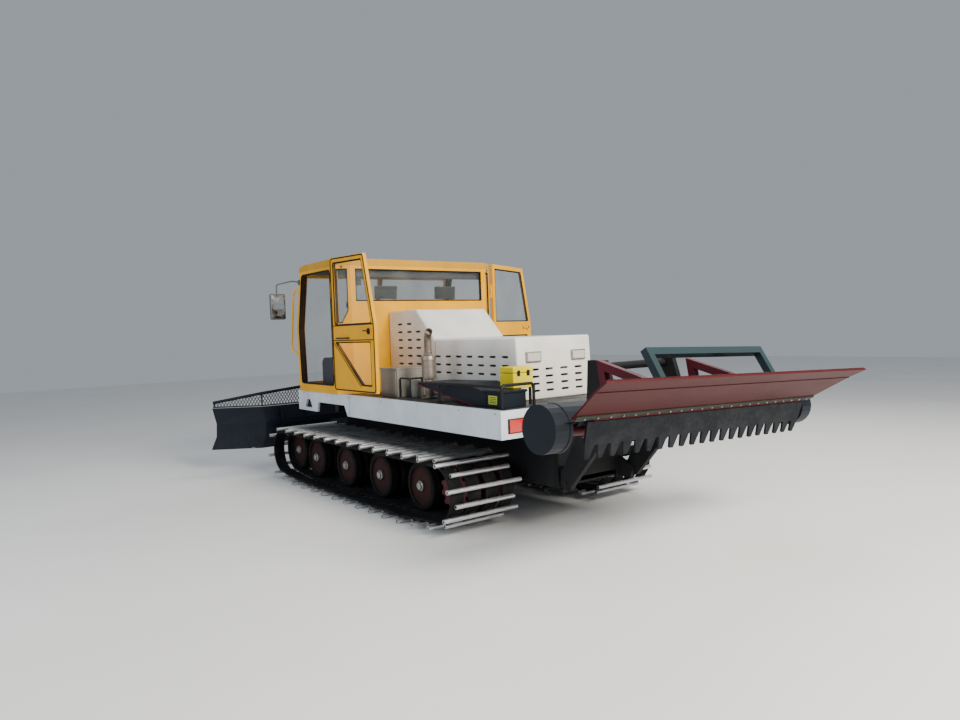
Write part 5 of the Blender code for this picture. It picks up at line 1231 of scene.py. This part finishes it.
    for name, side in SIDES:
        low, high = span(name + "_mirror")
        outer = side * 1.318
        head = cuboid("head", (outer - 0.101, -1.349, 2.048), (outer + 0.101, -1.302, 2.372), 0.020, 4)
        arm = tube("arm",
                   rounded([(side * 1.131, -1.060, 2.500), (side * 1.190, -1.130, 2.520),
                            (side * 1.320, -1.310, 2.490), (side * 1.324, -1.325, 2.460),
                                   (side * 1.324, -1.325, 2.360)], 0.025), 0.009, 10)
        foot = cuboid("foot", (min(side * 1.1305, side * 1.143), -1.085, 2.470),
                      (max(side * 1.1305, side * 1.143), -1.035, 2.530), 0.004)
        case = dress(join(name + "_mirror_case", [head, arm, foot]), "chassis", MIRROR_CASE)
        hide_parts(name + "_mirror")
        face = cuboid(name + "_mirror_face", (outer - 0.086, -1.303, 2.066),
                      (outer + 0.086, -1.2995, 2.354), 0.0012, 1)
        dress(face, "chassis", MIRROR)
        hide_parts(name + "_mirror")


# ================================================================ blade
WING = math.radians(35.0)
BLADE_Y = -2.200
BLADE_HALF = 1.250


def along_blade(u, z, depth=0.0):
    """A point u metres from the blade's middle along its plan, depth metres behind its face."""
    if abs(u) <= BLADE_HALF:
        return (u, BLADE_Y + depth, z)
    side = 1 if u > 0 else -1
    past = abs(u) - BLADE_HALF
    x = BLADE_HALF + past * math.cos(WING) - depth * math.sin(WING)
    y = BLADE_Y - past * math.sin(WING) + depth * math.cos(WING)
    return (side * x, y, z)


def build_blade():
    reach = BLADE_HALF + 0.655
    tops = [(0.0, 1.165), (0.45, 1.165), (1.25, 1.093), (reach, 0.985)]

    def top_at(u):
        u = abs(u)
        for (a, high_a), (b, high_b) in zip(tops, tops[1:]):
            if u <= b:
                return high_a + (high_b - high_a) * (u - a) / (b - a)
        return tops[-1][1]

    pitch = 0.042
    columns = int(2 * reach / pitch)
    bottom = 0.893
    strands = []
    count = columns * 2
    stretch = 2 * reach / count
    for lean in (1, -1):
        for index in range(-12, count + 12, 2):
            start = -reach + index * stretch
            path = []
            steps = 8
            for step in range(steps + 1):
                rise = 0.28 * step / steps
                u = start + lean * rise * 0.62
                z = bottom + rise
                if abs(u) <= reach and z <= top_at(u) - 0.02:
                    path.append(along_blade(u, z, -0.012))
            if len(path) > 1:
                strands.append(tube("strand", path, 0.0045, 4))
    mesh = join("guard_mesh", strands)
    dress(mesh, "blade_swing", NAVY)
    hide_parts("blade_guard")

    rails = []
    line = [along_blade(u, top_at(u) - 0.022, -0.010)
            for u in (-reach, -1.25, -0.45, 0.45, 1.25, reach)]
    rails.append(tube("rail", rounded(line, 0.03, 3), 0.021, 14))
    for u in (-reach + 0.012, -1.25, -0.45, 0.45, 1.25, reach - 0.012):
        rails.append(tube("post", [along_blade(u, bottom, -0.012),
                                   along_blade(u, top_at(u) - 0.03, -0.012)], 0.010, 8))
    low_line = [along_blade(u, bottom + 0.008, -0.012) for u in (-reach, -1.25, 1.25, reach)]
    rails.append(tube("rail", low_line, 0.008, 8))
    rail = dress(join("guard_rails", rails), "blade_swing", NAVY)
    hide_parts("blade_guard")

    teeth = []
    count = 44
    low = 0.318
    for index in range(count):
        u = -reach + 0.03 + (2 * reach - 0.06) * index / (count - 1)
        width = 0.034
        if abs(abs(u) - BLADE_HALF) < width:
            continue
        corners = [along_blade(u - width, low + 0.060, -0.045),
                   along_blade(u + width, low + 0.060, -0.045),
                   along_blade(u + width * 0.55, low + 0.002, -0.072),
                   along_blade(u - width * 0.55, low + 0.002, -0.072)]
        backs = [along_blade(u - width, low + 0.060, -0.030),
                 along_blade(u + width, low + 0.060, -0.030),
                 along_blade(u + width * 0.55, low + 0.002, -0.060),
                 along_blade(u - width * 0.55, low + 0.002, -0.060)]
        deselect()
        bpy.ops.mesh.primitive_cube_add(size=1.0)
        tooth = bpy.context.active_object
        for vertex in tooth.data.vertices:
            right = vertex.co.x > 0
            back = vertex.co.y > 0
            up = vertex.co.z > 0
            ring = backs if back else corners
            spot = ring[(1 if right else 0) if up else (2 if right else 3)]
            vertex.co = place(*spot)
        teeth.append(outward(tooth))
    dress(join("blade_teeth", teeth), "blade_swing", STEEL)
    ribs = []
    for x in (-1.0, -0.62, 0.62, 1.0):
        ribs.append(slab("rib", [(BLADE_Y + 0.010, 0.380), (BLADE_Y + 0.092, 0.520),
                                 (BLADE_Y + 0.092, 0.700), (BLADE_Y + 0.020, 0.860),
                                 (BLADE_Y + 0.002, 0.860), (BLADE_Y + 0.055, 0.674),
                                 (BLADE_Y + 0.045, 0.500)], "X", x - 0.008, x + 0.008, 0.002))
    dress(join("blade_ribs", ribs), "blade_swing", NAVY)


# ================================================================ tiller
ROLL = math.radians(-2.0)
ROLL_POINT = Vector((0.0, 3.500, 1.240))


def rolled(piece):
    """Tip a piece modelled level over with the tiller."""
    centre = place(*ROLL_POINT)
    piece.data.transform(Matrix.Translation(centre) @ Matrix.Rotation(ROLL, 4,
                                                                      "Y") @ Matrix.Translation(
                                                                              -centre))
    return piece


def build_tiller():
    lip = Vector((4.070, 1.148))
    crease = Vector((4.400, 1.357))
    tail = Vector((4.520, 1.420))
    run = (crease - lip).normalized()
    under = Vector((run.y, -run.x))

    def strip(name, start, end, low_depth, high_depth, half_start, half_end):
        a = lip + run * start
        b = lip + run * end
        points = []
        for side in (-1, 1):
            for spot, half in ((a, half_start), (b, half_end)):
                for depth in (low_depth, high_depth):
                    points.append((side * half, spot + under * depth))
        deselect()
        bpy.ops.mesh.primitive_cube_add(size=1.0)
        piece = bpy.context.active_object
        for vertex in piece.data.vertices:
            index = (4 if vertex.co.x > 0 else 0) + (2 if vertex.co.y > 0 else 0) + (1
                    if vertex.co.z < 0 else 0)
            x, spot = points[index]
            vertex.co = place(x, spot.x, spot.y)
        outward(piece)
        soften(piece, 0.002, 1)
        piece.name = name
        return piece

    lip_strip = strip("lip_strip", 0.002, 0.062, 0.0005, 0.012, 1.470, 1.492)
    dress(rolled(lip_strip), "tiller", LIP_STRIP)
    lip_strip.name = "board_lip_strip"
    spots = []
    for index in range(23):
        x = -1.40 + 2.80 * index / 22
        spot = lip + run * 0.034 + under * 0.012
        spots.append((x, spot.x, spot.y))
    heads = bolts("board_bolts", spots, (0, under.x, under.y), 0.009, 0.006)
    dress(rolled(heads), "tiller", STEEL)
    pressing = [strip("pressing", 0.372, 0.384, 0.0003, 0.005, 1.580, 1.584)]
    dress(rolled(join("board_pressings", pressing)), "tiller", MAROON)
    rim = []
    scallops = 110
    for index in range(scallops):
        x = -1.60 + 3.20 * index / (scallops - 1)
        rim.append(drum("scallop", (x, tail.x - 0.022, tail.y + 0.010),
                        (x, tail.x - 0.006, tail.y + 0.012), 0.009, 8, 0.0006))
    dress(rolled(join("board_scallops", rim)), "tiller", MAROON)

    feet = []
    for side in (-1, 1):
        foot = lip + run * 0.285 - under * 0.015
        feet.append(cuboid("foot", (side * 0.705 - 0.055, foot.x - 0.040, foot.y - 0.006),
                           (side * 0.705 + 0.055, foot.x + 0.040, foot.y + 0.004), 0.003))
    for piece in feet:
        centre = place(0, (lip + run * 0.285).x, (lip + run * 0.285).y)
        piece.data.transform(Matrix.Translation(centre) @ Matrix.Rotation(math.atan2(run.y, run.x), 4,
                "X") @ Matrix.Translation(-centre))
    dress(rolled(join("hoop_feet", feet)), "tiller", TEAL_GREY)

    axis = Vector((0.0, 3.870, 1.080))
    profile = [(-1.418, 0.0005), (-1.418, 0.068), (1.418, 0.068), (1.418, 0.0005)]
    drum_piece = turned("rotor_drum", profile, axis, 32)
    cutters = []
    random.seed(4)
    turn_step = math.radians(51.0)
    count = 84
    for index in range(count):
        x = -1.36 + 2.72 * index / (count - 1)
        turn = turn_step * index
        outline = [(0.060, -0.020), (0.125, -0.006), (0.136, 0.012), (0.122, 0.016), (0.060, 0.022)]
        points = [(axis.y + a * math.cos(turn) - b * math.sin(turn),
                   axis.z + a * math.sin(turn) + b * math.cos(turn)) for a, b in outline]
        cutters.append(slab("cutter", points, "X", x - 0.009, x + 0.009, 0.0015))
    rotor = dress(rolled(join("rotor_cutters", [drum_piece] + cutters)), "tiller_rotor", DARK_RED)
    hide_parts("tiller_rotor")

    covers = []
    rings = []
    for side in (1, -1):
        face = side * 1.571
        profile = [(-0.014, 0.0005), (-0.014, 0.155), (-0.006, 0.166), (0.002, 0.166), (0.004, 0.150),
                   (0.010, 0.130), (0.014, 0.060), (0.020, 0.052), (0.022, 0.0005)]
        profile = [(a * side, r) for a, r in profile]
        covers.append(turned("cover", profile, (face - side * 0.014, axis.y, axis.z), 40))
        rings.append(bolts("heads",
                           [(face - side * 0.012, axis.y + 0.148 * math.cos(math.tau * k / 8),
                             axis.z + 0.148 * math.sin(math.tau * k / 8)) for k in range(8)],
                           (side, 0, 0), 0.008, 0.006))
    dress(rolled(join("drive_covers", covers)), "tiller", NAVY)
    dress(rolled(join("drive_cover_bolts", rings)), "tiller", STEEL)
    comb_bolts = []
    for index in range(20):
        x = -1.28 + 2.56 * index / 19
        comb_bolts.append((x, 4.066, 1.100))
    dress(rolled(bolts("comb_bolts", comb_bolts, (0, -0.95, 0.31), 0.008, 0.005)), "tiller", STEEL)
    plates = []
    for side in (-1, 1):
        plates.append(bolts("heads", [(side * 0.57 + dx, y, 1.345) for dx in (-0.048, 0.048)
                                      for y in (3.895, 3.995)], (0, 0, 1), 0.008, 0.006))
    dress(rolled(join("yoke_bolts", plates)), "tiller", STEEL)


build_tracks()
build_wheels()
build_hood()
build_cab()
build_doors()
build_interior()
build_seats()
build_deck()
build_fittings()
build_blade()
build_tiller()


# ================================================================ floor, light and camera
def build_studio():
    deselect()
    bpy.ops.mesh.primitive_plane_add(size=60.0, location=(0, 0, GROUND - 0.0005))
    floor = bpy.context.active_object
    floor.name = "floor"
    finish = Finish("pale_floor")
    finish.set(Base_Color=finish.blend(finish.between(finish.noise(0.6, 3.0), 0.3, 0.7),
                                       rgb(0.80, 0.80, 0.80), rgb(0.84, 0.84, 0.84)), Roughness=0.85)
    floor.data.materials.append(finish.material)

    world = bpy.data.worlds.new("studio")
    world.use_nodes = True
    world.node_tree.nodes["Background"].inputs["Color"].default_value = rgb(0.84, 0.92, 1.0)
    world.node_tree.nodes["Background"].inputs["Strength"].default_value = 0.40
    bpy.context.scene.world = world

    for name, spot, size, power, tint in (
        ("key_light", (-0.5, 9.5, 6.0), 5.0, 2600.0, (1.0, 0.93, 0.82)),
        ("fill_light", (9.0, -1.5, 4.5), 6.0, 330.0, (0.86, 0.93, 1.0)),
        ("back_light", (-6.5, -3.0, 6.0), 5.0, 260.0, (1.0, 0.97, 0.93)),
    ):
        data = bpy.data.lights.new(name, "AREA")
        data.size = size
        data.energy = power
        data.color = tint
        lamp = bpy.data.objects.new(name, data)
        lamp.location = spot
        lamp.rotation_mode = "QUATERNION"
        lamp.rotation_quaternion = (Vector((0, -0.3, 0)) - Vector(spot)).to_track_quat("-Z", "Y")
        bpy.context.scene.collection.objects.link(lamp)


def build_camera():
    """A standing person's view from behind the machine's left rear corner."""
    yaw = 0.6471
    pitch = 0.0394
    roll = -0.03495
    forward = Vector((-math.sin(yaw) * math.cos(pitch), -math.cos(yaw) * math.cos(pitch),
                      -math.sin(pitch)))
    right = forward.cross(Vector((0, 0, 1))).normalized()
    up = right.cross(forward)
    turned_right = right * math.cos(roll) + up * math.sin(roll)
    turned_up = up * math.cos(roll) - right * math.sin(roll)
    data = bpy.data.cameras.new("camera")
    data.lens = 27.31
    data.sensor_width = 36.0
    camera = bpy.data.objects.new("camera", data)
    turn = Matrix((turned_right, turned_up, -forward)).transposed().to_4x4()
    camera.matrix_world = Matrix.Translation(place(4.852, 7.541, 1.814)) @ turn
    bpy.context.scene.collection.objects.link(camera)
    bpy.context.scene.camera = camera


build_studio()
build_camera()
